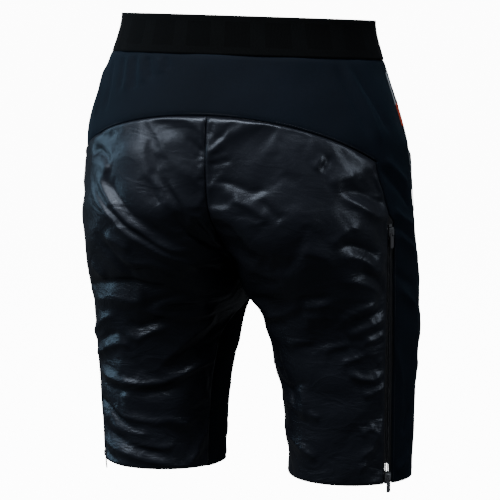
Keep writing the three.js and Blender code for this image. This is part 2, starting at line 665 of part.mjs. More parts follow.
function makeSideZip(side, suffix) {
  const zip = closure(side, rearSeam, ZIP_TOP_DROP, LENGTH);
  [['rear', 1], ['front', -1]].forEach(([place, hand]) => {
    const tapeTop = COIL_TOP_DROP - STOP_LENGTH;
    makeTape(`zip_tape_${place}_${suffix}`, zip, hand, tapeTop, LENGTH - SEAM_GAP, TAPE_WIDTH);
    makeCoil(`zip_coil_${place}_${suffix}`, zip, hand, COIL_TOP_DROP, COIL_BOTTOM_DROP);
  });
  const stopDrop = COIL_TOP_DROP - LAYER_GAP;
  makeStop(`zip_top_stop_${suffix}`, zip, stopDrop - STOP_LENGTH, stopDrop);
  makeStop(`zip_bottom_stop_${suffix}`, zip, COIL_BOTTOM_DROP + LAYER_GAP, LENGTH);
  const pull = { length: PULL_LENGTH, width: PULL_WIDTH, look: FINISH.pull };
  makeSlider(`zip_upper_PART_${suffix}`, zip, UPPER_SLIDER_DROP, pull);
  makeSlider(`zip_lower_PART_${suffix}`, zip, LOWER_SLIDER_DROP, pull);
}

// ---- pockets ------------------------------------------------------------------------
function makePocket(side, suffix) {
  const zip = closure(side, frontSeam, POCKET_TOP_DROP, POCKET_BOTTOM_DROP);
  [['rear', 1], ['front', -1]].forEach(([place, hand]) => {
    const from = POCKET_TOP_DROP - ZIP_MARGIN;
    const to = POCKET_BOTTOM_DROP + ZIP_MARGIN;
    makeTape(`pocket_tape_${place}_${suffix}`, zip, hand, from, to, POCKET_TAPE_WIDTH);
    makeCoil(`pocket_coil_${place}_${suffix}`, zip, hand, POCKET_TOP_DROP, POCKET_BOTTOM_DROP);
  });
  const pull = { length: POCKET_PULL_LENGTH, width: POCKET_PULL_WIDTH, look: FINISH.tab };
  makeSlider(`pocket_PART_${suffix}`, zip, POCKET_SLIDER_DROP, pull);
}

function makePocketBag(side, suffix) {
  const behind = TAPE_DEPTH + TAPE_THICKNESS + CLOTH_GAP;
  addPiece(`pocket_bag_${suffix}`, slab(5, 3, (across, down, depth) => {
    const drop = mix(POCKET_TOP_DROP, POCKET_BOTTOM_DROP + BAG_BELOW_POCKET, down);
    const start = frontSeam(drop) - spanAngle(frontSeam(drop), drop, COIL_HALF_WIDTH + 6);
    return clothPoint(side, start - across * BAG_ANGLE, drop, behind + depth * BAG_THICKNESS);
  }), FINISH.lining);
}

// Reflective strips on the cloth beside the pocket and along the seam under it.
function makeTrim(name, side, from, to, rows, offset) {
  addPiece(name, slab(1, rows, (across, down, depth) => {
    const drop = mix(from, to, down);
    const reach = offset(drop) + across * TRIM_WIDTH;
    const angle = frontSeam(drop) + spanAngle(frontSeam(drop), drop, reach);
    return clothPoint(side, angle, drop, -LAYER_GAP - (1 - depth) * TRIM_THICKNESS);
  }), FINISH.reflective);
}

function makeTrims(side, suffix) {
  const upperTop = POCKET_TOP_DROP + 4;
  const lowerTop = POCKET_BOTTOM_DROP + 6;
  const upperEnd = POCKET_SLIDER_DROP + 2;
  const lowerEnd = 0.71 * RISE;
  const beside = (drop) => frontOpening(drop) + TRIM_OFFSET;
  makeTrim(`reflective_upper_${suffix}`, side, upperTop, upperEnd, 3, beside);
  makeTrim(`reflective_lower_${suffix}`, side, lowerTop, lowerEnd, 5, beside);
}

// ---- inside the back of the waistband -----------------------------------------------
function makeHangerLoop() {
  const band = rawPoint(1, Math.PI / 2, LOOP_DROP);
  const seat = band.y - BAND_THICKNESS - LAYER_GAP;
  const shape = new THREE.Shape();
  const half = LOOP_HALF_LENGTH;
  const bow = 10 * LOOP_THICKNESS;
  shape.moveTo(-half, 0);
  shape.quadraticCurveTo(0, -bow, half, 0);
  shape.lineTo(half, -LOOP_THICKNESS);
  shape.quadraticCurveTo(0, -bow - LOOP_THICKNESS, -half, -LOOP_THICKNESS);
  shape.closePath();
  const options = { depth: LOOP_WIDTH, bevelEnabled: false, curveSegments: 8 };
  const geometry = plainGeometry(new THREE.ExtrudeGeometry(shape, options));
  geometry.translate(0, seat - bandSag(half), band.z - LOOP_WIDTH);
  addPiece('hanger_loop', facedOut(geometry), FINISH.tape);
}

// How far the band's inside has curved forward at a distance from the centre back.
function bandSag(x) {
  const s = section(0);
  return s.ry * (1 - Math.sqrt(1 - (x / s.rx) ** 2));
}

// ---- assembly -----------------------------------------------------------------------
makeWaistband();
makeBackYoke();
makeFrontYoke();
makeHangerLoop();
[[1, 'left'], [-1, 'right']].forEach(([side, suffix]) => {
  makePaddedPanels(side, suffix);
  makeSidePanel(side, suffix);
  makeInnerThigh(side, suffix);
  makeHemFacing(side, suffix);
  makeSideZip(side, suffix);
  makePocket(side, suffix);
  makePocketBag(side, suffix);
  makeTrims(side, suffix);
});

export default garment;
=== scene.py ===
"""Insulated ski shorts: stretch yoke, padded seat and thigh panels, side zips and pockets."""

import logging
import math
from dataclasses import dataclass, field
from enum import Enum
from typing import Callable, Iterable

import bmesh
import bpy
import numpy as np
from mathutils import Matrix, Vector


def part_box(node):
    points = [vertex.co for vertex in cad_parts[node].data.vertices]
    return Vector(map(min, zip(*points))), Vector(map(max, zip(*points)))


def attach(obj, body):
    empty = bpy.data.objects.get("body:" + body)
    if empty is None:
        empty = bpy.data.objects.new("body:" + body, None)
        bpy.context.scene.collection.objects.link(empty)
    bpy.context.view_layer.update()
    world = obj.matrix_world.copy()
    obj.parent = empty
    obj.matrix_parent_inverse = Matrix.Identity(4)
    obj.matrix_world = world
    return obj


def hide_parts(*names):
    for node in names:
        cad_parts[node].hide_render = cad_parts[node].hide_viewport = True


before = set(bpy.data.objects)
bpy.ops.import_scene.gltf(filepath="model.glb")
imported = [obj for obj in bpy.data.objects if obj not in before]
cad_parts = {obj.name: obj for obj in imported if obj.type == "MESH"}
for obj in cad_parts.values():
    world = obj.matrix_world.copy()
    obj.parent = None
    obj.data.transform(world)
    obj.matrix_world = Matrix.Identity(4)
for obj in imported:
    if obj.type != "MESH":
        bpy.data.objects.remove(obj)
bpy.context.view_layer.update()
LOG = logging.getLogger("shorts")
Array = np.ndarray
MM = 0.001
MICRON = 0.000001


class Side(Enum):
    """The two halves of the garment, with the sign of their X."""

    LEFT = 1
    RIGHT = -1

    @property
    def suffix(self) -> str:
        """The ending of this side's node names."""
        return self.name.lower()


class Face(Enum):
    """The back or the front of the garment, with the sign of its angles."""

    BACK = 1
    FRONT = -1


def mix(start: Array, end: Array, share: Array) -> Array:
    """Blends from start to end."""
    return start + (end - start) * share


def smoothstep(value: Array, low: float, high: float) -> Array:
    """Rises smoothly from 0 at low to 1 at high."""
    share = np.clip((value - low) / (high - low), 0.0, 1.0)
    return share * share * (3.0 - 2.0 * share)


# ---- the garment's outer surface ---------------------------------------------------------

# Each station: its drop as a share of the rise, how far the width has grown from the waist's
# to the hips', the leg axis's spread as a share of the crotch's half width, and how far the back
# and the front have grown to the hips'. The second one lies just under the band.
BODY_STATIONS = (
    (0.0, 0.0, 0.0, 0.0, 0.0),
    (0.145, 0.26, 0.0, 0.28, 0.1),
    (0.305, 0.7, 0.045, 0.7, 0.3),
    (0.44, 0.94, 0.12, 0.94, 0.52),
    (0.55, 0.98, 0.19, 1.0, 0.83),
    (0.66, 1.0, 0.28, 0.98, 1.0),
    (0.755, 1.01, 0.375, 0.7, 1.1),
    (0.85, 1.04, 0.45, 0.15, 1.13),
)
# Each station: its drop as a share of the inseam, and how far the width and the spread have come
# from the crotch to the hem, and the back and the front from the hem's to the hips'.
LEG_STATIONS = (
    (0.0, 0.0, 0.0, 0.5, 0.85),
    (0.18, 0.03, 0.51, 0.31, 0.3),
    (0.36, 0.23, 0.72, 0.2, 0.04),
    (0.57, 0.5, 0.92, 0.11, -0.05),
    (1.0, 1.0, 1.0, 0.0, 0.0),
)


@dataclass(frozen=True)
class GarmentForm:
    """The outer surface of the shorts, in metres, and the seams that lie on it."""

    length: float = 0.544
    rise: float = 0.318
    waist_half: tuple[float, float] = (0.153, 0.112)
    hip_half: float = 0.196
    hip_back: float = 0.138
    hip_front: float = 0.153
    crotch_ease: float = 0.004
    leg_spread: float = 0.119
    hem_half: tuple[float, float] = (0.0725, 0.0795)
    hem_forward: float = 0.0515
    waist_tilt: float = math.radians(3.4)
    band_height: float = 0.045
    yoke_back: float = 0.110
    yoke_front: float = 0.124
    yoke_side: float = 0.158
    yoke_curve: float = 2.2
    rear_seam_yoke: float = math.radians(25)
    rear_seam_zip: float = math.radians(17.5)
    rear_seam_hem: float = math.radians(33)
    front_seam_top: float = math.radians(-6)
    front_seam_leg: float = math.radians(-24)
    thigh_seam: float = math.radians(157)
    zip_top: float = 0.236
    zip_reveal: float = 0.0065
    zip_draw: float = math.radians(40)
    pocket_reveal: float = 0.0052
    pocket_top: float = 0.056
    pocket_bottom: float = 0.142
    pocket_draw: float = math.radians(20)
    shut_gap: float = 0.0003
    stations: Array = field(init=False, repr=False, compare=False, default=None)
    slopes: Array = field(init=False, repr=False, compare=False, default=None)

    def __post_init__(self) -> None:
        """Works out the girths at each station and the slopes between them."""
        rows = np.vstack([self.body_rows(), self.leg_rows()])
        steps = np.diff(rows[:, 1:], axis=0) / np.diff(rows[:, :1], axis=0)
        before, after = steps[:-1], steps[1:]
        total = np.where(before * after > 0, before + after, 1.0)
        slopes = np.zeros_like(rows)
        slopes[1:-1, 1:] = np.where(before * after > 0, 2 * before * after / total, 0.0)
        object.__setattr__(self, "stations", rows)
        object.__setattr__(self, "slopes", slopes)

    @property
    def crotch(self) -> float:
        """Half of the width at the crotch."""
        return self.hip_half + self.crotch_ease

    def body_rows(self) -> Array:
        """Drop, half width, leg spread, back and front of the stations above the crotch."""
        share, wide, spread, back, front = np.array(BODY_STATIONS).T
        half, depth = self.waist_half
        drop = share * self.rise
        drop[1] = self.band_height + MM
        width = mix(half, self.hip_half, wide)
        back, front = mix(depth, self.hip_back, back), mix(depth, self.hip_front, front)
        return np.column_stack([drop, width, spread * self.crotch, back, front])

    def leg_rows(self) -> Array:
        """Drop, half width, leg spread, back and front of the stations of the leg."""
        share, wide, spread, back, front = np.array(LEG_STATIONS).T
        half, depth = self.hem_half
        drop = mix(self.rise, self.length, share)
        width = mix(self.crotch, self.leg_spread + half, wide)
        spread = mix(self.crotch / 2, self.leg_spread, spread)
        back = mix(depth - self.hem_forward, self.hip_back, back)
        front = mix(depth + self.hem_forward, self.hip_front, front)
        return np.column_stack([drop, width, spread, back, front])

    def girth(self, column: int, drop: Array) -> Array:
        """One column of the stations at a drop, by monotone cubic."""
        drops = self.stations[:, 0]
        d = np.clip(drop, 0, self.length)
        i = np.clip(np.searchsorted(drops, d) - 1, 0, len(drops) - 2)
        span = drops[i + 1] - drops[i]
        t = (d - drops[i]) / span
        weight = 2 * t**3 - 3 * t**2 + 1
        value = weight * self.stations[i, column] + (1 - weight) * self.stations[i + 1, column]
        start = (t**3 - 2 * t**2 + t) * self.slopes[i, column]
        return value + span * (start + (t**3 - t**2) * self.slopes[i + 1, column])

    def section(self, drop: Array) -> tuple[Array, Array, Array, Array]:
        """The axis spread, both radii and the centre's Y of the section at a drop."""
        spread, back, front = (self.girth(column, drop) for column in (2, 3, 4))
        return spread, self.girth(1, drop) - spread, (back + front) / 2, (back - front) / 2

    def raw(self, side: Array, angle: Array, drop: Array) -> Array:
        """A point of the surface before the zips draw it flat.

        Args:
            side: 1 for the wearer's left, -1 for the right.
            angle: radians, 0 outwards, positive to the back.
            drop: distance below the rim.

        Returns:
            Points, with X, Y and Z in the last axis.
        """
        spread, rx, ry, centre = self.section(drop)
        x = side * (spread + rx * np.cos(angle))
        y = centre + ry * np.sin(angle)
        fade = 1 - smoothstep(drop, self.band_height, self.yoke_side)
        return np.stack([x, y, y * math.tan(self.waist_tilt) * fade - drop], axis=-1)

    def rear_seam(self, drop: Array) -> Array:
        """The angle of the side panel's rear seam, which follows the zip from its top down."""
        share = np.clip((drop - self.zip_top) / (self.length - self.zip_top), 0, 1)
        along = mix(self.rear_seam_zip, self.rear_seam_hem, np.sin(share * math.pi / 2))
        fall = smoothstep(drop, self.yoke_side, self.zip_top)
        return np.where(share > 0, along, mix(self.rear_seam_yoke, self.rear_seam_zip, fall))

    def front_seam(self, drop: Array) -> Array:
        """The angle of the pocket seam, and of the side panel's front seam below it."""
        share = smoothstep(drop, 0.28 * self.rise, 0.82 * self.rise)
        return mix(self.front_seam_top, self.front_seam_leg, share)

    def inner_seam(self, drop: Array, gap: float = 0.0) -> Array:
        """The angle of the centre seam above the crotch and of the inner thigh seam below."""
        spread, rx, ry, _ = self.section(drop)
        centre = np.arccos(np.clip((gap / 2 - spread) / rx, -1, 1))
        inseam = self.length - self.rise
        taper = smoothstep(drop, self.rise + 0.06 * inseam, self.rise + 0.3 * inseam)
        return np.minimum(centre, mix(math.pi, self.thigh_seam, taper) - gap / 2 / ry)

    def yoke_seam(self, share: Array, face: Face) -> Array:
        """The drop of the yoke's lower seam, from the centre plane to the side."""
        middle = self.yoke_back if face is Face.BACK else self.yoke_front
        return mix(middle, self.yoke_side, share**self.yoke_curve)

    def rear_opening(self, drop: Array) -> Array:
        """Half of the gap between the two cloth edges along the rear seam."""
        parted = smoothstep(drop, self.zip_top - 16 * MM, self.zip_top - 5 * MM)
        return mix(self.shut_gap, self.zip_reveal, parted)

    def front_opening(self, drop: Array) -> Array:
        """Half of the gap between the two cloth edges along the front seam."""
        past = drop - np.clip(drop, self.pocket_top - 3 * MM, self.pocket_bottom + 3 * MM)
        return mix(self.pocket_reveal, self.shut_gap, smoothstep(np.abs(past), 0, 8 * MM))

    def span_angle(self, angle: Array, drop: Array, distance: Array) -> Array:
        """The angle that a length along the surface takes up."""
        _, rx, ry, _ = self.section(drop)
        return distance / np.hypot(rx * np.sin(angle), ry * np.cos(angle))

    def rear_edge(self, drop: Array, hand: int, extra: float = 0.0) -> Array:
        """The angle of the cloth edge on one hand of the rear seam."""
        seam = self.rear_seam(drop)
        return seam + hand * self.span_angle(seam, drop, self.rear_opening(drop) + extra)

    def front_edge(self, drop: Array, hand: int, extra: float = 0.0) -> Array:
        """The angle of the cloth edge on one hand of the front seam."""
        seam = self.front_seam(drop)
        return seam + hand * self.span_angle(seam, drop, self.front_opening(drop) + extra)

    def drawn_in(self, side: Array, angle: Array, drop: Array, closure: "ClosureLine") -> Array:
        """How far the cloth moves towards a straight closure."""
        reach = 1 - smoothstep(np.abs(angle - closure.seam(drop)), 0, closure.width)
        inside = np.clip(drop, closure.top, closure.bottom)
        fade = 1 - smoothstep(np.abs(drop - inside), 0, 0.15 * self.rise)
        shift = closure.chord(side, inside) - self.raw(side, closure.seam(inside), inside)
        shift[..., 2] = 0
        return shift * (reach * fade)[..., None]

    def surface(self, side: Array, angle: Array, drop: Array) -> Array:
        """A point of the finished outer surface."""
        side, angle, drop = np.broadcast_arrays(side, angle, drop)
        point = self.raw(side, angle, drop)
        for closure in (self.side_zip, self.pocket_zip):
            point = point + self.drawn_in(side, angle, drop, closure)
        return point

    def normal(self, side: Array, angle: Array, drop: Array) -> Array:
        """The outward direction at a point of the surface."""
        turn, step = 0.01, 2 * MM
        d = np.clip(drop, step, self.length - step)
        around = self.surface(side, angle + turn, d) - self.surface(side, angle - turn, d)
        down = self.surface(side, angle, d + step) - self.surface(side, angle, d - step)
        out = np.cross(down, around) * np.broadcast_to(side, np.shape(angle))[..., None]
        return out / np.linalg.norm(out, axis=-1, keepdims=True)

    def cloth(self, side: Array, angle: Array, drop: Array, height: Array = 0.0) -> Array:
        """A point at a height above the outer surface, away from the wearer."""
        lift = np.broadcast_to(height, np.shape(angle))[..., None]
        return self.surface(side, angle, drop) + self.normal(side, angle, drop) * lift

    @property
    def side_zip(self) -> "ClosureLine":
        """The line of the side zip."""
        return ClosureLine(self, self.rear_seam, self.zip_top, self.length, self.zip_draw)

    @property
    def pocket_zip(self) -> "ClosureLine":
        """The line of the pocket zip."""
        line = (self.front_seam, self.pocket_top, self.pocket_bottom)
        return ClosureLine(self, *line, self.pocket_draw)


@dataclass(frozen=True)
class ClosureLine:
    """A straight zip between two points of a seam."""

    form: GarmentForm
    seam: Callable[[Array], Array]
    top: float
    bottom: float
    width: float

    def ends(self, side: float) -> tuple[Array, Array]:
        """The line's upper and lower end."""
        drops = np.array([self.top, self.bottom])
        points = self.form.raw(np.full(2, side), self.seam(drops), drops)
        return points[0], points[1]

    def chord(self, side: Array, drop: Array) -> Array:
        """The point of the line at a drop."""
        drops = np.array([self.top, self.bottom])
        start, end = self.form.raw(np.ones(2), self.seam(drops), drops)
        share = ((drop - self.top) / (self.bottom - self.top))[..., None]
        point = mix(start, end, share)
        same = np.ones_like(point[..., 0])
        return point * np.stack([side, same, same], axis=-1)

    def frame_at(self, side: float, drop: Array) -> tuple[Array, Array, Array, Array]:
        """The point, and the directions to the back, up and outwards, at each drop."""
        upper, lower = self.ends(side)
        up = (upper - lower) / np.linalg.norm(upper - lower)
        sides = np.full(np.shape(drop), float(side))
        out = self.form.normal(sides, self.seam(drop), drop)
        out = out - (out @ up)[..., None] * up
        out = out / np.linalg.norm(out, axis=-1, keepdims=True)
        return self.chord(sides, drop), np.cross(up, out) * side, np.broadcast_to(up, out.shape), out


FORM = GarmentForm()


# ---- finishes ----------------------------------------------------------------------------

Value = "Socket | float"
Colour = tuple[float, float, float]


class Socket:
    """An output socket, with arithmetic that adds Math nodes."""

    def __init__(self, graph: "Graph", link: bpy.types.NodeSocket) -> None:
        """Keeps the socket and the graph that it belongs to."""
        self.graph = graph
        self.link = link

    def maths(self, operation: str, first: Value, second: Value = 0.0) -> "Socket":
        """Adds one Math node."""
        return self.graph.node("Math", {"operation": operation}, {0: first, 1: second})

    def __add__(self, other: Value) -> "Socket":
        """self + other."""
        return self.maths("ADD", self, other)

    def __radd__(self, other: Value) -> "Socket":
        """other + self."""
        return self.maths("ADD", other, self)

    def __sub__(self, other: Value) -> "Socket":
        """self - other."""
        return self.maths("SUBTRACT", self, other)

    def __rsub__(self, other: Value) -> "Socket":
        """other - self."""
        return self.maths("SUBTRACT", other, self)

    def __mul__(self, other: Value) -> "Socket":
        """self * other."""
        return self.maths("MULTIPLY", self, other)

    def __rmul__(self, other: Value) -> "Socket":
        """other * self."""
        return self.maths("MULTIPLY", other, self)

    def __abs__(self) -> "Socket":
        """The value without its sign."""
        return self.maths("ABSOLUTE", self)

    def wave(self) -> "Socket":
        """The sine of the value, from -1 to 1."""
        return self.maths("SINE", self)

    def fraction(self) -> "Socket":
        """The value's part after the point."""
        return self.maths("FRACT", self)

    def step(self, low: float, high: float) -> "Socket":
        """Rises from 0 at low to 1 at high."""
        settings = {"interpolation_type": "SMOOTHSTEP"}
        values = {"Value": self, "From Min": low, "From Max": high}
        return self.graph.node("MapRange", settings, values)


class Graph:
    """The node tree of one material."""

    def __init__(self, name: str) -> None:
        """Makes an empty material."""
        self.material = bpy.data.materials.new(name)
        self.material.use_nodes = True
        self.tree = self.material.node_tree
        self.tree.nodes.clear()

    def node(self, kind: str, settings: dict | None = None, values: dict | None = None,
             output: int | str = 0) -> Socket:
        """Adds a node.

        Args:
            kind: the node's type, without its ShaderNode prefix.
            settings: properties of the node, set before its sockets; "stops" fills a ramp.
            values: what each input gets, by name or number: a number, a tuple or a Socket.
            output: which output is returned.

        Returns:
            The chosen output.
        """
        made = self.tree.nodes.new(f"ShaderNode{kind}")
        for key, setting in (settings or {}).items():
            if key == "stops":
                ramp = made.color_ramp.elements
                while len(ramp) < len(setting):
                    ramp.new(0.5)
                for element, (position, colour) in zip(ramp, setting):
                    element.position = position
                    element.color = (*colour, 1.0)
            else:
                setattr(made, key, setting)
        for key, given in (values or {}).items():
            if isinstance(given, Socket):
                self.tree.links.new(given.link, made.inputs[key])
            elif isinstance(given, tuple) and len(given) == 3 and made.inputs[key].type == "RGBA":
                made.inputs[key].default_value = (*given, 1.0)
            else:
                made.inputs[key].default_value = given
        return Socket(self, made.outputs[output])

    def place(self) -> Socket:
        """Object coordinates, in metres."""
        return self.node("TexCoord", output="Object")

    def cloth_axes(self) -> tuple[Socket, Socket]:
        """The distances across and along a cloth, in metres, from its UV map."""
        uv = self.node("UVMap", {"uv_map": "cloth"})
        across = self.node("SeparateXYZ", values={0: uv}, output=0)
        return across, Socket(self, across.link.node.outputs[1])

    def noise(self, scale: float, detail: float = 2.0, distortion: float = 0.0,
              stretch: tuple[float, float, float] | None = None) -> Socket:
        """Noise on Object coordinates, from 0 to 1, with `scale` features in a metre."""
        point = self.place()
        if stretch:
            settings = {"operation": "MULTIPLY"}
            point = self.node("VectorMath", settings, {0: point, 1: stretch})
        values = {"Vector": point, "Scale": scale, "Detail": detail, "Distortion": distortion}
        return self.node("TexNoise", values=values)

    def blend(self, mask: Value, first: "Socket | Colour", second: "Socket | Colour") -> Socket:
        """Mixes two colours."""
        values = {0: mask, 6: first, 7: second}
        return self.node("Mix", {"data_type": "RGBA"}, values, output=2)

    def finish(self, colour: "Socket | Colour", roughness: Value, height: Socket | None,
               fixed: dict, metallic: float = 0.0) -> bpy.types.Material:
        """Ends the tree with a Principled shader.

        Args:
            colour: the base colour.
            roughness: the roughness.
            height: the relief, in metres.
            fixed: values that are the same all over, by socket name.
            metallic: 1 for bare metal.

        Returns:
            The material.
        """
        values = {"Base Color": colour, "Roughness": roughness, "Metallic": metallic, **fixed}
        if height is not None:
            values["Normal"] = self.node("Bump", values={"Distance": 1.0, "Height": height})
        shader = self.node("BsdfPrincipled", values=values)
        end = self.tree.nodes.new("ShaderNodeOutputMaterial")
        self.tree.links.new(shader.link, end.inputs["Surface"])
        return self.material


@dataclass(frozen=True)
class Finish:
    """What every finish has: a name, the record's slot, a colour and a roughness."""

    name: str
    slot: str
    colour: Colour
    roughness: float

    def build(self) -> bpy.types.Material:
        """Makes the material."""
        raise NotImplementedError

    def material(self) -> bpy.types.Material:
        """The material, made when it is first asked for."""
        return bpy.data.materials.get(self.name) or self.build()

    def tinted(self, factor: float) -> Colour:
        """The colour, lighter or darker."""
        return tuple(channel * factor for channel in self.colour)


@dataclass(frozen=True)
class ShellNylon(Finish):
    """Light, close-woven nylon with a soft gloss, crumpled by washing and wear."""

    crumple: float = 0.45 * MM
    thread: float = 0.55 * MM

    def build(self) -> bpy.types.Material:
        """Makes the material."""
        graph = Graph(self.name)
        across, along = graph.cloth_axes()
        turn = 2 * math.pi / self.thread
        weave = (across * turn).wave() * (along * turn).wave()
        tall = graph.node("SeparateXYZ", values={0: graph.place()}, output=2)
        worn = (tall * -1.0).step(0.15, 0.34) * 0.7 + 0.3
        folds = abs(graph.noise(22, 3.0, 1.0, (1.0, 1.0, 2.3)) - 0.5)
        creases = abs(graph.noise(60, 2.5, 0.8, (1.0, 1.0, 1.9)) - 0.5)
        crumples = (folds * 5.0 + creases) * self.crumple * worn
        height = weave * (12 * MICRON) - crumples
        cloud = graph.noise(9, 3.0)
        colour = graph.blend(cloud.step(0.3, 0.7), self.colour, self.tinted(1.35))
        roughness = cloud * 0.1 + graph.noise(420, 1.0) * 0.08 + (self.roughness - 0.09)
        fixed = {"Specular IOR Level": 0.5, "Specular Tint": (0.78, 0.86, 1.0, 1.0)}
        return graph.finish(colour, roughness, height, fixed)


@dataclass(frozen=True)
class Softshell(Finish):
    """Matte stretch cloth with a fine diagonal twill and a brushed look."""

    rib: float = 0.9 * MM

    def build(self) -> bpy.types.Material:
        """Makes the material."""
        graph = Graph(self.name)
        across, along = graph.cloth_axes()
        turn = 2 * math.pi / self.rib
        twill = ((across + along) * turn).wave()
        cross = ((across - along * 0.4) * (turn * 1.7)).wave()
        fuzz = graph.noise(900, 2.0)
        height = twill * (30 * MICRON) + cross * (12 * MICRON) + fuzz * (50 * MICRON)
        height = height + graph.noise(45, 2.0) * (400 * MICRON)
        cloud = graph.noise(14, 3.0)
        shade = graph.blend(cloud.step(0.3, 0.75), self.colour, self.tinted(1.3))
        colour = graph.blend(fuzz.step(0.45, 0.75) * 0.5, shade, self.tinted(2.0))
        roughness = fuzz * 0.1 + (self.roughness - 0.05)
        fixed = {"Specular IOR Level": 0.12, "Sheen Weight": 0.045, "Sheen Roughness": 0.5,
                 "Sheen Tint": (0.2, 0.42, 0.62, 1.0)}
        return graph.finish(colour, roughness, height, fixed)


@dataclass(frozen=True)
class Elastic(Finish):
    """Wide woven elastic: cords across, fine ribs round, and faint woven blocks."""

    cord: float = 1.6 * MM
    rib: float = 1.1 * MM
    block_pitch: float = 47 * MM
    block_share: float = 0.64
    block_top: float = 7 * MM
    block_bottom: float = 36 * MM

    def build(self) -> bpy.types.Material:
        """Makes the material."""
        graph = Graph(self.name)
        across, along = graph.cloth_axes()
        cords = (across * (2 * math.pi / self.cord)).wave()
        ribs = (along * (2 * math.pi / self.rib)).wave()
        below = along.step(self.block_top, self.block_top + MM)
        inside = below - along.step(self.block_bottom, self.block_bottom + MM)
        cell = (across * (1 / self.block_pitch)).fraction()
        block = (cell.step(0.0, 0.02) - cell.step(self.block_share, self.block_share + 0.02)) * inside
        fuzz = graph.noise(700, 2.0)
        height = cords * (60 * MICRON) + ribs * (50 * MICRON) + fuzz * (80 * MICRON)
        height = height - block * (150 * MICRON)
        worn = graph.blend(fuzz.step(0.4, 0.8), self.colour, self.tinted(1.8))
        colour = graph.blend(block * 0.6, worn, self.tinted(0.45))
        fixed = {"Specular IOR Level": 0.07, "Sheen Weight": 0.02, "Sheen Roughness": 0.5,
                 "Sheen Tint": (0.5, 0.55, 0.65, 1.0)}
        return graph.finish(colour, fuzz * 0.08 + (self.roughness - 0.04), height, fixed)


@dataclass(frozen=True)
class WovenTape(Finish):
    """Narrow woven tape with a herringbone."""

    pitch: float = 1.2 * MM
    zigzags: float = 220.0

    def build(self) -> bpy.types.Material:
        """Makes the material."""
        graph = Graph(self.name)
        across, along = graph.cloth_axes()
        turn = 2 * math.pi / self.pitch
        zigzag = abs((across * self.zigzags).fraction() - 0.5) * (self.pitch * 2)
        weave = ((along + zigzag) * turn).wave()
        fuzz = graph.noise(1100, 1.0)
        height = weave * (50 * MICRON) + fuzz * (30 * MICRON)
        # The colour is lighter on the raised threads of the weave and darker in the grooves between
        # them: a painted highlight and painted shade that follow the relief.
        colour = graph.blend(weave.step(-0.4, 0.9), self.colour, self.tinted(2.1))
        fixed = {"Specular IOR Level": 0.35, "Sheen Weight": 0.1, "Sheen Roughness": 0.5}
        return graph.finish(colour, fuzz * 0.1 + (self.roughness - 0.05), height, fixed)


@dataclass(frozen=True)
class Satin(Finish):
    """Thin plain lining cloth, also used for sewing thread."""

    grain: float = 600.0

    def build(self) -> bpy.types.Material:
        """Makes the material."""
        graph = Graph(self.name)
        grain = graph.noise(self.grain, 2.0)
        height = grain * (50 * MICRON) + graph.noise(50, 3.0, 0.5) * (500 * MICRON)
        colour = graph.blend(grain.step(0.3, 0.7), self.colour, self.tinted(1.6))
        fixed = {"Specular IOR Level": 0.4, "Sheen Weight": 0.1, "Sheen Roughness": 0.4}
        return graph.finish(colour, grain * 0.12 + (self.roughness - 0.06), height, fixed)


@dataclass(frozen=True)
class Moulded(Finish):
    """Moulded plastic or rubber with a fine grain and rubbed high spots."""

    gloss: float = 0.5

    def build(self) -> bpy.types.Material:
        """Makes the material."""
        graph = Graph(self.name)
        grain = graph.noise(1500, 2.0)
        worn = graph.noise(160, 3.0)
        height = grain * (30 * MICRON)
        colour = graph.blend(worn.step(0.45, 0.8), self.colour, self.tinted(1.5))
        roughness = worn * 0.15 + (self.roughness - 0.07)
        return graph.finish(colour, roughness, height, {"Specular IOR Level": self.gloss})


@dataclass(frozen=True)
class PlatedMetal(Finish):
    """Tumbled nickel plate with fine scratches and dull patches."""

    def build(self) -> bpy.types.Material:
        """Makes the material."""
        graph = Graph(self.name)
        scratch = graph.noise(700, 3.0, 0.4, (1.0, 1.0, 0.15))
        patch = graph.noise(260, 3.0)
        height = scratch * (30 * MICRON)
        colour = graph.blend(patch.step(0.35, 0.75), self.colour, self.tinted(0.72))
        roughness = scratch * 0.14 + patch * 0.12 + (self.roughness - 0.12)
        return graph.finish(colour, roughness, height, {}, metallic=1.0)


@dataclass(frozen=True)
class Reflective(Finish):
    """Grey retroreflective tape: glass beads under a thin film, with a woven edge."""

    def build(self) -> bpy.types.Material:
        """Makes the material."""
        graph = Graph(self.name)
        values = {"Vector": graph.place(), "Scale": 2400.0}
        beads = graph.node("TexVoronoi", values=values)
        worn = graph.noise(120, 3.0)
        height = beads * (20 * MICRON)
        colour = graph.blend(worn.step(0.35, 0.8), self.colour, self.tinted(0.7))
        roughness = worn * 0.2 + (self.roughness - 0.1)
        fixed = {"Specular IOR Level": 0.7, "Coat Weight": 0.2, "Coat Roughness": 0.3}
        return graph.finish(colour, roughness, height, fixed)


SHELL = ShellNylon("crumpled_shell_nylon", "shell_nylon", (0.0062, 0.0072, 0.0105), 0.345)
STRETCH = Softshell("navy_stretch_softshell", "stretch_softshell", (0.0015, 0.0034, 0.0072), 0.8)
ELASTIC = Elastic("ribbed_waist_elastic", "elastic_webbing", (0.0014, 0.0017, 0.0019), 0.92)
TAPE = WovenTape("zip_tape_weave", "woven_tape", (0.004, 0.0045, 0.006), 0.8)
LINING = Satin("satin_lining", "lining", (0.008, 0.009, 0.012), 0.6)
THREAD = Satin("sewing_thread", "lining", (0.012, 0.014, 0.02), 0.55, 2000.0)
COIL = Moulded("coil_nylon", "zip_coil", (0.007, 0.008, 0.011), 0.38)
PULL = Moulded("pull_rubber", "pull_rubber", (0.22, 0.23, 0.24), 0.55)
ACCENT = Moulded("orange_tab_rubber", "accent_tab", (0.72, 0.085, 0.035), 0.5)
METAL = PlatedMetal("nickel_plate", "zip_metal", (0.55, 0.56, 0.58), 0.34)
TRIM = Reflective("reflective_tape", "reflective_trim", (0.5, 0.54, 0.57), 0.42)


# ---- cloth on the surface ----------------------------------------------------------------


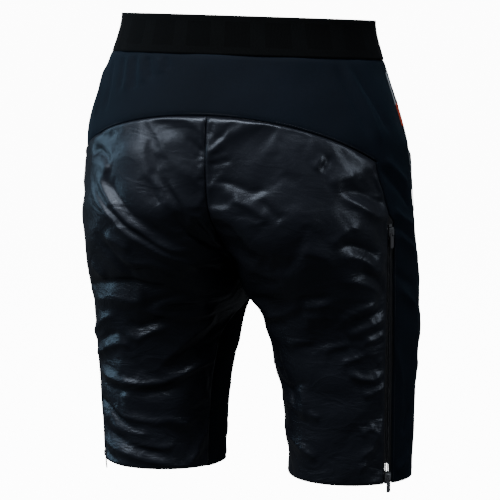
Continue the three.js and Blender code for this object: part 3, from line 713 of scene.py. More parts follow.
@dataclass(frozen=True)
class Fold:
    """A ridge, or a crease where its height is negative, along points of the surface.

    Points are an angle in degrees and a drop in millimetres; height and width are in
    millimetres.
    """

    points: tuple[tuple[float, float], ...]
    height: float
    width: float
    samples: int = 17
    sharpness: float = 1.35

    def line(self, side: int) -> Array:
        """The fold's path in space."""
        given = np.array(self.points, float)
        share = np.linspace(0, len(given) - 1, self.samples)
        angle, drop = (np.interp(share, np.arange(len(given)), given[:, k]) for k in (0, 1))
        return FORM.surface(np.full(self.samples, side), np.radians(angle), drop * MM)

    def relief(self, side: int, points: Array) -> Array:
        """The height that the fold adds at each point, in metres."""
        line = self.line(side)
        nearest = np.full(len(points), np.inf)
        along = np.zeros(len(points))
        for i, (start, end) in enumerate(zip(line[:-1], line[1:])):
            run = end - start
            t = np.clip((points - start) @ run / max(run @ run, 1e-12), 0, 1)
            distance = np.linalg.norm(points - start - t[:, None] * run, axis=1)
            closer = distance < nearest
            nearest = np.where(closer, distance, nearest)
            along = np.where(closer, (i + t) / (len(line) - 1), along)
        taper = smoothstep(np.minimum(along, 1 - along), -0.04, 0.22)
        return self.height * MM * taper * np.exp(-((nearest / (self.width * MM)) ** self.sharpness))


def fold_rows(*rows: tuple[float, ...]) -> tuple[Fold, ...]:
    """Folds from rows of a height, a width, and then each point's angle and drop."""
    return tuple(Fold(tuple(zip(row[2::2], row[3::2])), row[0], row[1]) for row in rows)


class Ripple:
    """Soft, seeded unevenness: a few waves of random direction and phase."""

    def __init__(self, seed: int, waves: int, low: float, high: float) -> None:
        """Draws the waves, from `low` to `high` waves in a metre."""
        draw = np.random.default_rng(seed)
        direction = draw.normal(size=(waves, 3)) * (1.0, 1.0, 1.6)
        direction /= np.linalg.norm(direction, axis=1, keepdims=True)
        self.turns = direction * draw.uniform(low, high, (waves, 1)) * 2 * math.pi
        self.phases = draw.uniform(0, 2 * math.pi, waves)

    def at(self, points: Array) -> Array:
        """A value near -1 to 1 at each point."""
        waves = np.sin(points @ self.turns.T + self.phases)
        return waves.sum(axis=-1) / math.sqrt(len(self.phases))


Spots = tuple[Array, Array, Array]  # side, angle and drop
Layout = Callable[[Array, Array], Spots]


class ClothPatch:
    """A piece of cloth that lies on the garment's surface, as a grid of points."""

    def __init__(self, name: str, columns: int, rows: int, layout: Layout, *,
                 drawn: bool = True, ring: bool = False) -> None:
        """Lays the grid out.

        Args:
            name: the piece's name.
            columns: cells across.
            rows: cells down.
            layout: gives side, angle and drop from the shares across and down.
            drawn: whether the zips draw this cloth flat.
            ring: whether the last column meets the first.
        """
        self.name, self.columns, self.rows, self.ring = name, columns, rows, ring
        across, down = np.meshgrid(np.linspace(0, 1, columns + 1), np.linspace(0, 1, rows + 1))
        self.across, self.down = across, down
        grids = np.broadcast_arrays(*layout(across, down))
        self.side, self.angle, self.drop = (np.array(grid, float) for grid in grids)
        point = FORM.surface if drawn else FORM.raw
        self.base = point(self.side, self.angle, self.drop)
        self.out = FORM.normal(self.side, self.angle, self.drop)
        zeros_column = np.zeros((rows + 1, 1))
        zeros_row = np.zeros((1, columns + 1))
        steps_across = np.linalg.norm(np.diff(self.base, axis=1), axis=2)
        steps_down = np.linalg.norm(np.diff(self.base, axis=0), axis=2)
        self.reach = np.hstack([zeros_column, np.cumsum(steps_across, axis=1)])
        self.fall = np.vstack([zeros_row, np.cumsum(steps_down, axis=0)])

    @property
    def edges(self) -> tuple[Array, Array, Array, Array]:
        """Distances from the first and last column and the first and last row."""
        return self.reach, self.reach[:, -1:] - self.reach, self.fall, self.fall[-1:] - self.fall

    @property
    def flat(self) -> tuple[float, float]:
        """The width and length of the cut, laid flat."""
        return float(self.reach[:, -1].max()), float(self.fall[-1].max())

    @property
    def flat_area(self) -> float:
        """The area of the cut, laid flat."""
        right, down = np.diff(self.base, axis=1)[:-1], np.diff(self.base, axis=0)[:, :-1]
        return float(np.linalg.norm(np.cross(right, down), axis=2).sum())

    def relief(self, folds: Iterable[Fold], side: Side) -> Array:
        """The summed height of some folds at every point of the grid, on one side."""
        flat_points = self.base.reshape(-1, 3)
        total = sum((f.relief(side.value, flat_points) for f in folds), np.zeros(len(flat_points)))
        return total.reshape(self.drop.shape) * (self.side == side.value)

    def into(self, bm: bmesh.types.BMesh, height: Array,
             shift: tuple[float, float] = (0.0, 0.0)) -> None:
        """Adds the cloth to a mesh.

        Args:
            bm: the mesh.
            height: of the outer face above the garment's surface.
            shift: where the cloth's UV map starts.
        """
        shown = self.base + self.out * np.broadcast_to(height, self.drop.shape)[..., None]
        uv = bm.loops.layers.uv.get("cloth") or bm.loops.layers.uv.new("cloth")
        made = bmesh.ops.create_grid(bm, x_segments=self.columns, y_segments=self.rows, size=0.5)
        cell, faces, facing = {}, set(), 0.0
        for vert in made["verts"]:
            i = round((vert.co.x + 0.5) * self.columns)
            j = round((0.5 - vert.co.y) * self.rows)
            cell[vert] = (j, i)
            vert.co = shown[j, i]
            faces.update(vert.link_faces)
        bm.faces.index_update()
        ordered = sorted(faces, key=lambda face: face.index)
        for face in ordered:
            face.smooth = True
            for loop in face.loops:
                j, i = cell[loop.vert]
                loop[uv].uv = (self.reach[j, i] + shift[0], self.fall[j, i] + shift[1])
            face.normal_update()
            facing += face.normal.dot(Vector(self.out[cell[face.loops[0].vert]]))
        self.order = [cell[vert] for vert in made["verts"]]
        if facing < 0:
            bmesh.ops.reverse_faces(bm, faces=ordered)
        if self.ring:
            bmesh.ops.remove_doubles(bm, verts=made["verts"], dist=1e-5)

    def by_vertex(self, values: Array) -> Array:
        """Values of the grid in the order of the built mesh's vertices."""
        return np.array([values[cell] for cell in self.order])

    def build(self, height: Array = 0.0) -> bpy.types.Object:
        """Makes the cloth's object, as a sheet without thickness."""
        bm = bmesh.new()
        self.into(bm, height)
        return to_object(bm, self.name)


def to_object(bm: bmesh.types.BMesh, name: str) -> bpy.types.Object:
    """Turns a bmesh into an object at the origin, and frees it."""
    mesh = bpy.data.meshes.new(name)
    bm.to_mesh(mesh)
    bm.free()
    piece = bpy.data.objects.new(name, mesh)
    bpy.context.scene.collection.objects.link(piece)
    return piece


def dress(piece: bpy.types.Object, finish: Finish, body: str = "shorts") -> bpy.types.Object:
    """Gives a piece its finish and body."""
    piece.data.materials.clear()
    piece.data.materials.append(finish.material())
    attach(piece, body)
    LOG.info("%s: %d faces, on %s", piece.name, len(piece.data.polygons), body)
    return piece


def subdivide(piece: bpy.types.Object, levels: int = 1) -> None:
    """Smooths a piece with a subdivision surface."""
    finer = piece.modifiers.new("finer", "SUBSURF")
    finer.levels = finer.render_levels = levels
    finer.boundary_smooth = "PRESERVE_CORNERS"


def thicken(piece: bpy.types.Object, thickness: float, share: Array | None = None,
            thinnest: float = 0.2) -> None:
    """Gives a sheet its thickness, towards the wearer.

    Args:
        piece: the sheet.
        thickness: in metres.
        share: how much of it each vertex gets, or None for all of it.
        thinnest: the share at vertices that get nothing.
    """
    wall = piece.modifiers.new("thickness", "SOLIDIFY")
    wall.thickness, wall.offset = thickness, -1.0
    wall.use_rim, wall.use_quality_normals = True, True
    if share is None:
        return
    group = piece.vertex_groups.new(name="fill")
    for index, weight in enumerate(share):
        group.add([index], float(weight), "REPLACE")
    wall.vertex_group, wall.thickness_vertex_group = group.name, thinnest


def sewn_sheet(patch: ClothPatch, height: Array, thickness: float, state: str, finish: Finish,
               *nodes: str) -> bpy.types.Object:
    """Makes a plain sheet in place of some CAD nodes.

    Args:
        patch: where the sheet lies.
        height: of its outer face above the garment's surface.
        thickness: in metres.
        state: "stretched" or "hung"; not used.
        finish: its finish.
        nodes: the CAD nodes that it replaces.

    Returns:
        The sheet.
    """
    piece = patch.build(height)
    thicken(piece, thickness)
    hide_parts(*nodes)
    return dress(piece, finish)


def vertex_array(piece: bpy.types.Object) -> Array:
    """The places of a mesh's vertices."""
    places = np.empty(len(piece.data.vertices) * 3, np.float64)
    piece.data.vertices.foreach_get("co", places)
    return places.reshape(-1, 3)


@dataclass(frozen=True)
class Settling:
    """Cloth simulation of a panel that is sewn in at its edges and is cut with some ease.

    `ease` is how much longer the cloth is than its place, as a share of it. `pressure` is the
    push of the wadding, `steps` the simulation's quality, and `cap` the furthest that a point
    may move, in metres.
    """

    ease: float = 0.022
    pressure: float = 0.5
    frames: int = 16
    steps: int = 6
    cap: float = 0.0036
    vertex_mass: float = 0.05
    stiffness: float = 30.0
    bending: float = 0.1
    damping: float = 0.4
    air_damping: float = 1.5

    def settle(self, piece: bpy.types.Object, held: Array) -> None:
        """Lets the cloth settle, with the held vertices kept in place.

        Args:
            piece: an open sheet.
            held: one weight for each vertex, 1 where the cloth is sewn.
        """
        start = vertex_array(piece)
        group = piece.vertex_groups.new(name="held")
        for index in np.flatnonzero(held > 0):
            group.add([int(index)], float(held[index]), "REPLACE")
        cloth = piece.modifiers.new("settle", "CLOTH")
        settings = cloth.settings
        settings.quality, settings.mass = self.steps, self.vertex_mass
        settings.air_damping, settings.shrink_min = self.air_damping, -self.ease
        settings.tension_stiffness = settings.compression_stiffness = self.stiffness
        settings.shear_stiffness, settings.bending_stiffness = self.stiffness / 3, self.bending
        settings.tension_damping = settings.compression_damping = self.damping
        settings.shear_damping, settings.bending_damping = self.damping, self.damping / 10
        settings.vertex_group_mass = group.name
        settings.use_pressure, settings.uniform_pressure_force = True, self.pressure
        settings.effector_weights.gravity = 0.0
        cloth.collision_settings.use_collision = False
        cloth.point_cache.frame_start, cloth.point_cache.frame_end = 1, self.frames
        for number in range(1, self.frames + 1):
            bpy.context.scene.frame_set(number)
        shown = piece.evaluated_get(bpy.context.evaluated_depsgraph_get())
        end = np.empty(len(start) * 3, np.float64)
        shown.data.vertices.foreach_get("co", end)
        piece.modifiers.remove(cloth)
        piece.vertex_groups.remove(group)
        bpy.context.scene.frame_set(1)
        moved = end.reshape(-1, 3) - start
        length = np.linalg.norm(moved, axis=1, keepdims=True)
        LOG.info("%s: settled by up to %.1f mm", piece.name, 1000 * float(length.max()))
        limited = moved * (self.cap * np.tanh(length / self.cap) / np.maximum(length, 1e-9))
        piece.data.vertices.foreach_set("co", (start + limited).ravel())
        piece.data.update()


# ---- the garment's cloth parts -----------------------------------------------------------

SEAM = 0.05 * MM  # what each side of a seam leaves free


def rounded(distance: Array, reach: float) -> Array:
    """A quarter-round rise from 0 at a seam to 1 at `reach` from it."""
    share = np.clip(distance / reach, 0, 1)
    return np.sqrt(1 - (1 - share) ** 2)


@dataclass(frozen=True)
class SeamDip:
    """The valley that a seam pulls into the cloth beside it."""

    depth: float
    reach: float

    def at(self, distance: Array) -> Array:
        """The height at a distance from the seam."""
        return -self.depth * np.exp(-((distance / self.reach) ** 2))


YOKE_DIP = SeamDip(1.5 * MM, 3.2 * MM)
BAND_DIP = SeamDip(1.1 * MM, 2.6 * MM)
ZIP_DIP = SeamDip(1.1 * MM, 3 * MM)
SIDE_DIP = SeamDip(1.3 * MM, 3 * MM)
THIGH_DIP = SeamDip(1.2 * MM, 3 * MM)


def beside_all(patch: ClothPatch, reach: float) -> Array:
    """A quarter-round rise from every edge of a cloth."""
    return rounded(np.minimum.reduce(patch.edges), reach)


@dataclass
class Waistband:
    """The wide woven elastic that shows above the yoke."""

    thickness: float = 2.1 * MM
    columns: int = 400
    rows: int = 20
    welt: float = 0.35 * MM
    gather: float = 0.45 * MM

    def layout(self, across: Array, down: Array) -> Spots:
        """Once round the waist, from the front."""
        return np.ones_like(across), (across - 0.5) * 2 * math.pi, down * FORM.band_height

    def build(self) -> bpy.types.Object:
        """Makes the band with rolled edges, and soft waves where the yoke is gathered in."""
        patch = ClothPatch("waist_elastic", self.columns, self.rows, self.layout,
                           drawn=False, ring=True)
        patch.reach = np.broadcast_to(patch.reach.mean(axis=0), patch.reach.shape)
        top, bottom = patch.edges[2:]
        edge = np.minimum(top, bottom)
        waves = Ripple(4, 7, 18, 40).at(patch.base * (1, 1, 0.15))
        pinch = smoothstep(patch.down, 0.45, 1.0) * self.gather * waves
        height = self.welt * np.exp(-((edge / (2.2 * MM)) ** 2)) * rounded(edge, 0.6 * MM) + pinch
        return sewn_sheet(patch, height, self.thickness, "stretched", ELASTIC, "waistband_elastic")


@dataclass
class StretchBody:
    """The back yoke and both side panels, which flow into each other."""

    centre_columns: int = 48
    side_columns: int = 34
    yoke_rows: int = 36
    side_rows: int = 128
    thickness: float = 1.4 * MM
    unevenness: float = 0.5 * MM
    weld: float = 0.7 * MM
    turning: float = 0.7 * MM
    folds: dict[Side, tuple[Fold, ...]] = field(default_factory=dict)

    def yoke_layout(self, across: Array, down: Array) -> Spots:
        """From the right pocket seam over the back to the left one."""
        per_side = self.centre_columns + self.side_columns
        column = np.abs(2 * across - 1) * per_side
        share = np.minimum(column / self.centre_columns, 1)
        forward = np.maximum(column - self.centre_columns, 0) / self.side_columns
        bottom = FORM.yoke_seam(share, Face.BACK) - SEAM * (forward == 0)
        drop = mix(FORM.band_height + SEAM, bottom, down)
        back = mix(FORM.inner_seam(drop), FORM.rear_seam(drop), share)
        front = FORM.front_edge(drop, 1)
        return np.where(across < 0.5, -1, 1), mix(back, front, forward), drop

    def side_layout(self, side: Side) -> Layout:
        """The side panel, from the rear seam to the front one, in the yoke's direction."""
        def layout(across: Array, down: Array) -> Spots:
            """Down one side panel."""
            share = across if side is Side.LEFT else 1 - across
            drop = mix(FORM.yoke_side, FORM.length - SEAM, down)
            angle = mix(FORM.rear_edge(drop, -1), FORM.front_edge(drop, 1), share)
            return np.full_like(across, side.value), angle, drop
        return layout

    def lift(self, patch: ClothPatch, waves: Ripple) -> Array:
        """Folds, and unevenness of the worn cloth."""
        total = self.unevenness * waves.at(patch.base)
        for side in Side:
            total = total + patch.relief(self.folds.get(side, ()), side)
        return total * smoothstep(self.from_front_seam(patch), 5 * MM, 14 * MM)

    def build(self) -> bpy.types.Object:
        """Makes the cloth in one piece."""
        waves = Ripple(11, 9, 7, 22)
        columns = 2 * (self.centre_columns + self.side_columns)
        yoke = ClothPatch("yoke", columns, self.yoke_rows, self.yoke_layout)
        seam = YOKE_DIP.at(yoke.edges[3])
        seam = seam * (np.abs(2 * yoke.across - 1) <= self.yoke_share)
        band = BAND_DIP.at(yoke.edges[2])
        bm = bmesh.new()
        yoke.into(bm, self.lift(yoke, waves) + seam + band + self.pocket_edge(yoke))
        area = yoke.flat_area
        for side in Side:
            panel = ClothPatch("side", self.side_columns, self.side_rows, self.side_layout(side))
            rear, front = panel.edges[:2] if side is Side.LEFT else panel.edges[1::-1]
            low = smoothstep(panel.drop, FORM.yoke_side, FORM.yoke_side + 20 * MM)
            dips = (ZIP_DIP.at(rear) + SIDE_DIP.at(front)) * low
            column = 0 if side is Side.RIGHT else 2 * self.centre_columns + self.side_columns
            shift = (float(yoke.reach[-1, column]), float(yoke.fall[-1, 0]))
            panel.into(bm, self.lift(panel, waves) + dips + self.pocket_edge(panel), shift)
            area += panel.flat_area
        bmesh.ops.remove_doubles(bm, verts=bm.verts, dist=self.weld)
        body = to_object(bm, "stretch_yoke_and_sides")
        thicken(body, self.thickness)
        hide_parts("back_yoke", "side_panel_left", "side_panel_right")
        return dress(body, STRETCH)

    @property
    def yoke_share(self) -> float:
        """The share of the yoke's half width that lies over the padded panel."""
        return self.centre_columns / (self.centre_columns + self.side_columns)

    def pocket_edge(self, patch: ClothPatch) -> Array:
        """A turned edge beside the pocket zip."""
        beside = smoothstep(FORM.front_opening(patch.drop), SEAM * 2, FORM.pocket_reveal)
        away = self.from_front_seam(patch)
        return self.turning * beside * np.exp(-(((away - 7.5 * MM) / (2.2 * MM)) ** 2))

    def from_front_seam(self, patch: ClothPatch) -> Array:
        """The distance from the front seam, round the garment."""
        seam = FORM.front_seam(patch.drop)
        _, rx, ry, _ = FORM.section(patch.drop)
        return np.abs(patch.angle - seam) * np.hypot(rx * np.sin(seam), ry * np.cos(seam))


@dataclass
class FrontYoke:
    """The stretch yoke at the front, between the two pockets."""

    columns: int = 104
    rows: int = 36
    thickness: float = 1.4 * MM

    def layout(self, across: Array, down: Array) -> Spots:
        """From the right pocket over the front to the left one."""
        share = np.abs(2 * across - 1)
        drop = mix(FORM.band_height + SEAM, FORM.yoke_seam(share, Face.FRONT) - SEAM, down)
        angle = mix(-FORM.inner_seam(drop), FORM.front_edge(drop, -1), share)
        return np.where(across < 0.5, -1, 1), angle, drop

    def build(self) -> bpy.types.Object:
        """Makes the yoke."""
        patch = ClothPatch("front_yoke_cloth", self.columns, self.rows, self.layout)
        height = 0.5 * MM * Ripple(13, 9, 7, 22).at(patch.base)
        height += BAND_DIP.at(patch.edges[2]) + YOKE_DIP.at(patch.edges[3])
        return sewn_sheet(patch, height, self.thickness, "stretched", STRETCH, "front_yoke")


@dataclass
class PaddedPanel:
    """A seat or thigh panel: crumpled nylon over wadding, sewn in all round."""

    side: Side
    face: Face
    folds: tuple[Fold, ...] = ()
    columns: int = 62
    rows: int = 120
    thickness: float = 8.2 * MM
    thinnest: float = 0.22
    crown: float = 2.2 * MM
    groove: float = 1.4 * MM
    inner_share: float = 0.5
    softness: float = 0.9 * MM
    fill: float = 0.35
    lining_columns: int = 24
    lining_rows: int = 60
    lining_depth: tuple[float, float] = (4.6 * MM, 11.0 * MM)
    lining_thickness: float = 0.4 * MM
    settling: Settling = Settling()

    @property
    def place(self) -> str:
        """Which panel this is, as its nodes are named."""
        return "seat" if self.face is Face.BACK else "thigh"

    def layout(self, across: Array, down: Array) -> Spots:
        """From the centre or inner seam to the side seam."""
        drop = mix(FORM.yoke_seam(across, self.face) + SEAM, FORM.length - SEAM, down)
        inner = self.face.value * FORM.inner_seam(drop, 2 * SEAM)
        if self.face is Face.BACK:
            outer = FORM.rear_edge(drop, 1)
        else:
            outer = FORM.front_edge(drop, -1)
        return np.full_like(across, self.side.value), mix(inner, outer, across), drop

    def rise(self, patch: ClothPatch) -> Array:
        """The puffed height above the surface, from the seams up to the crown."""
        inner, outer, top, bottom = patch.edges
        full = mix(self.inner_share, 1.0, rounded(inner, 3.5 * MM)) * rounded(outer, 7 * MM)
        full = full * rounded(top, 7 * MM) * rounded(bottom, 5 * MM)
        return full * (self.groove + self.crown) - self.groove

    def build(self) -> bpy.types.Object:
        """Makes the panel as one closed padded body, and lets its cloth settle."""
        name = f"{self.place}_padding_{self.side.suffix}"
        patch = ClothPatch(name, self.columns, self.rows, self.layout)
        free = beside_all(patch, 9 * MM)
        seed = 20 + self.side.value + 3 * self.face.value
        soft = self.softness * Ripple(seed, 12, 9, 30).at(patch.base)
        panel = patch.build(self.rise(patch) + (patch.relief(self.folds, self.side) + soft) * free)
        border = np.zeros_like(patch.drop)
        border[[0, -1], :] = border[:, [0, -1]] = 1.0
        self.settling.settle(panel, patch.by_vertex(border))
        share = patch.by_vertex(beside_all(patch, 12 * MM))
        subdivide(panel)
        thicken(panel, self.thickness, share, self.thinnest)
        suffix = self.side.suffix
        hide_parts(f"{self.place}_shell_{suffix}", f"{self.place}_wadding_{suffix}")
        return dress(panel, SHELL)

    def build_lining(self) -> bpy.types.Object:
        """Makes the lining behind the padding."""
        name = f"{self.place}_inner_cloth_{self.side.suffix}"
        patch = ClothPatch(name, self.lining_columns, self.lining_rows, self.layout)
        depth = beside_all(patch, 16 * MM)
        waves = 0.5 * MM * Ripple(31, 8, 8, 20).at(patch.base) * depth
        node = f"{self.place}_lining_{self.side.suffix}"
        height = waves - mix(*self.lining_depth, depth)
        return sewn_sheet(patch, height, self.lining_thickness, "hung", LINING, node)


@dataclass
class InnerThigh:
    """The stretch panel along the inside of a leg."""

    side: Side
    columns: int = 30
    rows: int = 84
    thickness: float = 1.3 * MM
    slack: float = 0.7 * MM

    def layout(self, across: Array, down: Array) -> Spots:
        """Round the inside of the leg, from the crotch to the hem."""
        inseam = FORM.length - FORM.rise
        drop = mix(FORM.rise + 0.1 * inseam, FORM.length - SEAM, down)
        half = math.pi - FORM.inner_seam(drop, 2 * SEAM)
        angle = math.pi + mix(-half, half, across)
        return np.full_like(across, self.side.value), angle, drop

    def build(self) -> bpy.types.Object:
        """Makes the panel with a few slack creases."""
        name = f"inner_leg_cloth_{self.side.suffix}"
        patch = ClothPatch(name, self.columns, self.rows, self.layout)
        slack = self.slack * Ripple(17, 8, 8, 25).at(patch.base)
        height = THIGH_DIP.at(np.minimum(*patch.edges[:2])) + slack
        node = f"inner_thigh_{self.side.suffix}"
        return sewn_sheet(patch, height, self.thickness, "stretched", STRETCH, node)


@dataclass
class HemFacing:
    """The turned-up facing inside a hem, open at the side zip."""

    side: Side
    height: float = 20 * MM
    clear: float = 17 * MM
    depth: float = 9.5 * MM
    edge_depth: float = 2.6 * MM
    columns: int = 130
    rows: int = 8
    thickness: float = 0.6 * MM

    def layout(self, across: Array, down: Array) -> Spots:
        """Round the hem from one side of the zip to the other."""
        drop = mix(FORM.length - self.height, FORM.length - 2 * SEAM, down)
        seam = FORM.rear_seam(drop)
        clear = FORM.span_angle(seam, drop, self.clear)
        angle = seam + mix(clear, 2 * math.pi - clear, across)
        return np.full_like(across, self.side.value), angle, drop

    def build(self) -> bpy.types.Object:
        """Makes the facing, which rises to the lining from the hem's edge."""
        name = f"hem_facing_cloth_{self.side.suffix}"
        patch = ClothPatch(name, self.columns, self.rows, self.layout)
        inward = mix(self.depth, self.edge_depth, smoothstep(patch.down, 0.5, 1.0))
        node = f"hem_facing_{self.side.suffix}"
        return sewn_sheet(patch, -inward, self.thickness, "hung", LINING, node)


@dataclass
class PocketBag:
    """The pocket's bag, behind the front yoke."""

    side: Side
    columns: int = 40
    rows: int = 34
    depth: float = 5.4 * MM
    slack: float = 0.5 * MM
    thickness: float = 1.1 * MM
    behind_zip: float = 8.9 * MM
    below_zip: float = 10 * MM
    spread: float = math.radians(46)

    def layout(self, across: Array, down: Array) -> Spots:
        """Forward from the pocket zip."""
        drop = mix(FORM.pocket_top, FORM.pocket_bottom + self.below_zip, down)
        seam = FORM.front_seam(drop)
        start = seam - FORM.span_angle(seam, drop, self.behind_zip)
        return np.full_like(across, self.side.value), start - across * self.spread, drop

    def build(self) -> bpy.types.Object:
        """Makes the bag as a slack double layer."""
        patch = ClothPatch(f"pocket_lining_{self.side.suffix}", self.columns, self.rows, self.layout)
        waves = self.slack * beside_all(patch, 10 * MM) * Ripple(19, 7, 10, 30).at(patch.base)
        node = f"pocket_bag_{self.side.suffix}"
        return sewn_sheet(patch, waves - self.depth, self.thickness, "hung", LINING, node)


# ---- zips, trims and stitching -----------------------------------------------------------


def repeat(name: str, shape: bpy.types.Mesh, places: Iterable[Matrix]) -> bpy.types.Object:
    """Makes one piece of many copies of a small shape.

    Args:
        name: the piece's name.
        shape: the shape, about its own origin; it is removed at the end.
        places: where each copy goes.

    Returns:
        The piece.
    """
    bm = bmesh.new()
    for place in places:
        copy = shape.copy()
        copy.transform(place)
        bm.from_mesh(copy)
        bpy.data.meshes.remove(copy)
    bpy.data.meshes.remove(shape)
    bmesh.ops.recalc_face_normals(bm, faces=bm.faces)
    for face in bm.faces:
        face.smooth = True
    return to_object(bm, name)


def basis(point: Array, right: Array, up: Array, out: Array) -> Matrix:
    """A placement whose X, Y and Z are three directions."""
    columns = np.column_stack([right, up, out])
    return Matrix.Translation(Vector(point)) @ Matrix(columns.tolist()).to_4x4()


def small_mesh(bm: bmesh.types.BMesh) -> bpy.types.Mesh:
    """Turns a bmesh into a mesh to be repeated, and frees it."""
    mesh = bpy.data.meshes.new("repeated")
    bm.to_mesh(mesh)
    bm.free()
    return mesh


def pill(size: tuple[float, float, float]) -> bpy.types.Mesh:
    """A small rounded stick along X."""
    bm = bmesh.new()
    bmesh.ops.create_uvsphere(bm, u_segments=6, v_segments=4, radius=0.5)
    bmesh.ops.scale(bm, vec=size, verts=bm.verts)
    return small_mesh(bm)


def bead(size: tuple[float, float, float], round_by: float) -> bpy.types.Mesh:
    """A small block with rounded edges."""
    bm = bmesh.new()
    bmesh.ops.create_cube(bm, size=1.0)
    bmesh.ops.scale(bm, vec=size, verts=bm.verts)
    bmesh.ops.bevel(bm, geom=bm.edges[:], offset=round_by, offset_type="OFFSET", segments=1,
                    profile=0.5, affect="EDGES", material=-1)
    return small_mesh(bm)


@dataclass
class StitchRun:
    """A row of lockstitches along a seam."""

    name: str
    side: Array
    angle: Array
    drop: Array
    height: float = 0.0
    pitch: float = 3.1 * MM

    def places(self) -> list[Matrix]:
        """Where each stitch lies."""
        line = FORM.cloth(self.side, self.angle, self.drop, self.height)
        out = FORM.normal(self.side, self.angle, self.drop)
        run = np.concatenate([[0], np.cumsum(np.linalg.norm(np.diff(line, axis=0), axis=1))])
        at = np.arange(self.pitch / 2, run[-1], self.pitch)
        point = np.column_stack([np.interp(at, run, line[:, k]) for k in range(3)])
        ahead = np.column_stack([np.interp(at + MM, run, line[:, k]) for k in range(3)])
        facing = np.column_stack([np.interp(at, run, out[:, k]) for k in range(3)])
        made = []
        for start, end, normal in zip(point[:-1], ahead[:-1], facing[:-1]):
            right = (end - start) / np.linalg.norm(end - start)
            up = np.cross(normal, right)
            up /= np.linalg.norm(up)
            made.append(basis(start, right, up, np.cross(right, up)))
        return made


@dataclass
class Stitching:
    """All of the sewing thread that shows."""

    samples: int = 240
    stitch: tuple[float, float, float] = (2.3 * MM, 0.55 * MM, 0.5 * MM)
    above_yoke_seam: float = 2.6 * MM
    from_zip: float = 2.4 * MM
    from_leg_seam: float = 2.2 * MM
    from_pocket: float = 4.6 * MM
    above_hem: float = 3 * MM

    def rows(self, side: Side) -> list[StitchRun]:
        """The stitched seams of one half."""
        share = np.linspace(0, 1, self.samples)
        end = FORM.length - self.above_hem
        back = FORM.yoke_seam(share, Face.BACK) - self.above_yoke_seam
        front = FORM.yoke_seam(share, Face.FRONT) - self.above_yoke_seam
        zipped = mix(FORM.zip_top + 2 * MM, end, share)
        leg = mix(FORM.rise + 30 * MM, end, share)
        under = mix(FORM.pocket_bottom + 8 * MM, end, share)
        beside = mix(FORM.pocket_top - 2 * MM, FORM.pocket_bottom + 2 * MM, share)
        inside = FORM.inner_seam(leg, 2 * SEAM)
        inside = inside + FORM.span_angle(inside, leg, self.from_leg_seam)
        lines = (
            ("yoke", mix(FORM.inner_seam(back), FORM.rear_seam(back), share), back, -0.7 * MM),
            ("front", mix(-FORM.inner_seam(front), FORM.front_edge(front, -1), share), front, -0.7 * MM),
            ("zip", FORM.rear_edge(zipped, -1, self.from_zip), zipped, -0.5 * MM),
            ("leg", inside, leg, -0.7 * MM),
            ("leg", -inside, leg, -0.7 * MM),
            ("front_seam", FORM.front_edge(under, 1, self.from_leg_seam), under, -0.6 * MM),
            ("pocket", FORM.front_edge(beside, 1, self.from_pocket), beside, 0.1 * MM),
        )
        ones = np.full(self.samples, side.value)
        return [StitchRun(name, ones, angle, drop, height) for name, angle, drop, height in lines]

    def build(self) -> bpy.types.Object:
        """Makes the stitches as one piece."""
        places = [place for side in Side for run in self.rows(side) for place in run.places()]
        return dress(repeat("seam_stitches", pill(self.stitch), places), THREAD)


@dataclass
class ZipChain:
    """The tapes and coils of one zip."""

    line: ClosureLine
    side: Side
    prefix: str
    top: float
    bottom: float
    coil_top: float
    coil_bottom: float
    tape_width: float
    tape_depth: float = 3.2 * MM
    coil_half: float = 2.8 * MM
    slit: float = 0.62 * MM
    pitch: float = 1.5 * MM
    coil_thickness: float = 2.1 * MM
    coil_sink: float = 0.4 * MM
    loop_share: float = 0.68
    tape_gap: float = 0.7 * MM
    tape_thickness: float = 0.6 * MM

    def tape(self, place: str, hand: int) -> bpy.types.Object:
        """One tape, from the coil outwards under the cloth."""
        start = self.coil_half + self.tape_gap

        def layout(across: Array, down: Array) -> Spots:
            """From the coil outwards, down the zip."""
            drop = mix(self.top, self.bottom, down)
            seam = self.line.seam(drop)
            reach = FORM.span_angle(seam, drop, start + across * self.tape_width)
            return np.full_like(across, self.side.value), seam + hand * reach, drop

        name = f"{self.prefix}_woven_tape_{place}_{self.side.suffix}"
        patch = ClothPatch(name, 6, 100, layout)
        tape = patch.build(-self.tape_depth)
        thicken(tape, self.tape_thickness)
        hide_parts(f"{self.prefix}_tape_{place}_{self.side.suffix}")
        return dress(tape, TAPE)

    def coil(self, place: str, hand: int) -> bpy.types.Object:
        """One coil, as a row of loops."""
        drops = np.arange(self.coil_top + self.pitch, self.coil_bottom - self.pitch / 2, self.pitch)
        drops = drops + hand * self.pitch / 4
        point, rearward, up, out = self.line.frame_at(self.side.value, drops)
        middle = hand * (self.slit + self.coil_half) / 2
        spots = point + rearward * middle - out * (self.tape_depth + self.coil_sink)
        size = (self.coil_half - self.slit, self.loop_share * self.pitch, self.coil_thickness)
        places = [basis(*four) for four in zip(spots, rearward, up, out)]
        name = f"{self.prefix}_coil_loops_{place}_{self.side.suffix}"
        loops = repeat(name, bead(size, 0.3 * MM), places)
        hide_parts(f"{self.prefix}_coil_{place}_{self.side.suffix}")
        return dress(loops, COIL)

    def build(self) -> None:
        """Makes both tapes and both coils."""
        for place, hand in (("rear", 1), ("front", -1)):
            self.tape(place, hand)
            self.coil(place, hand)


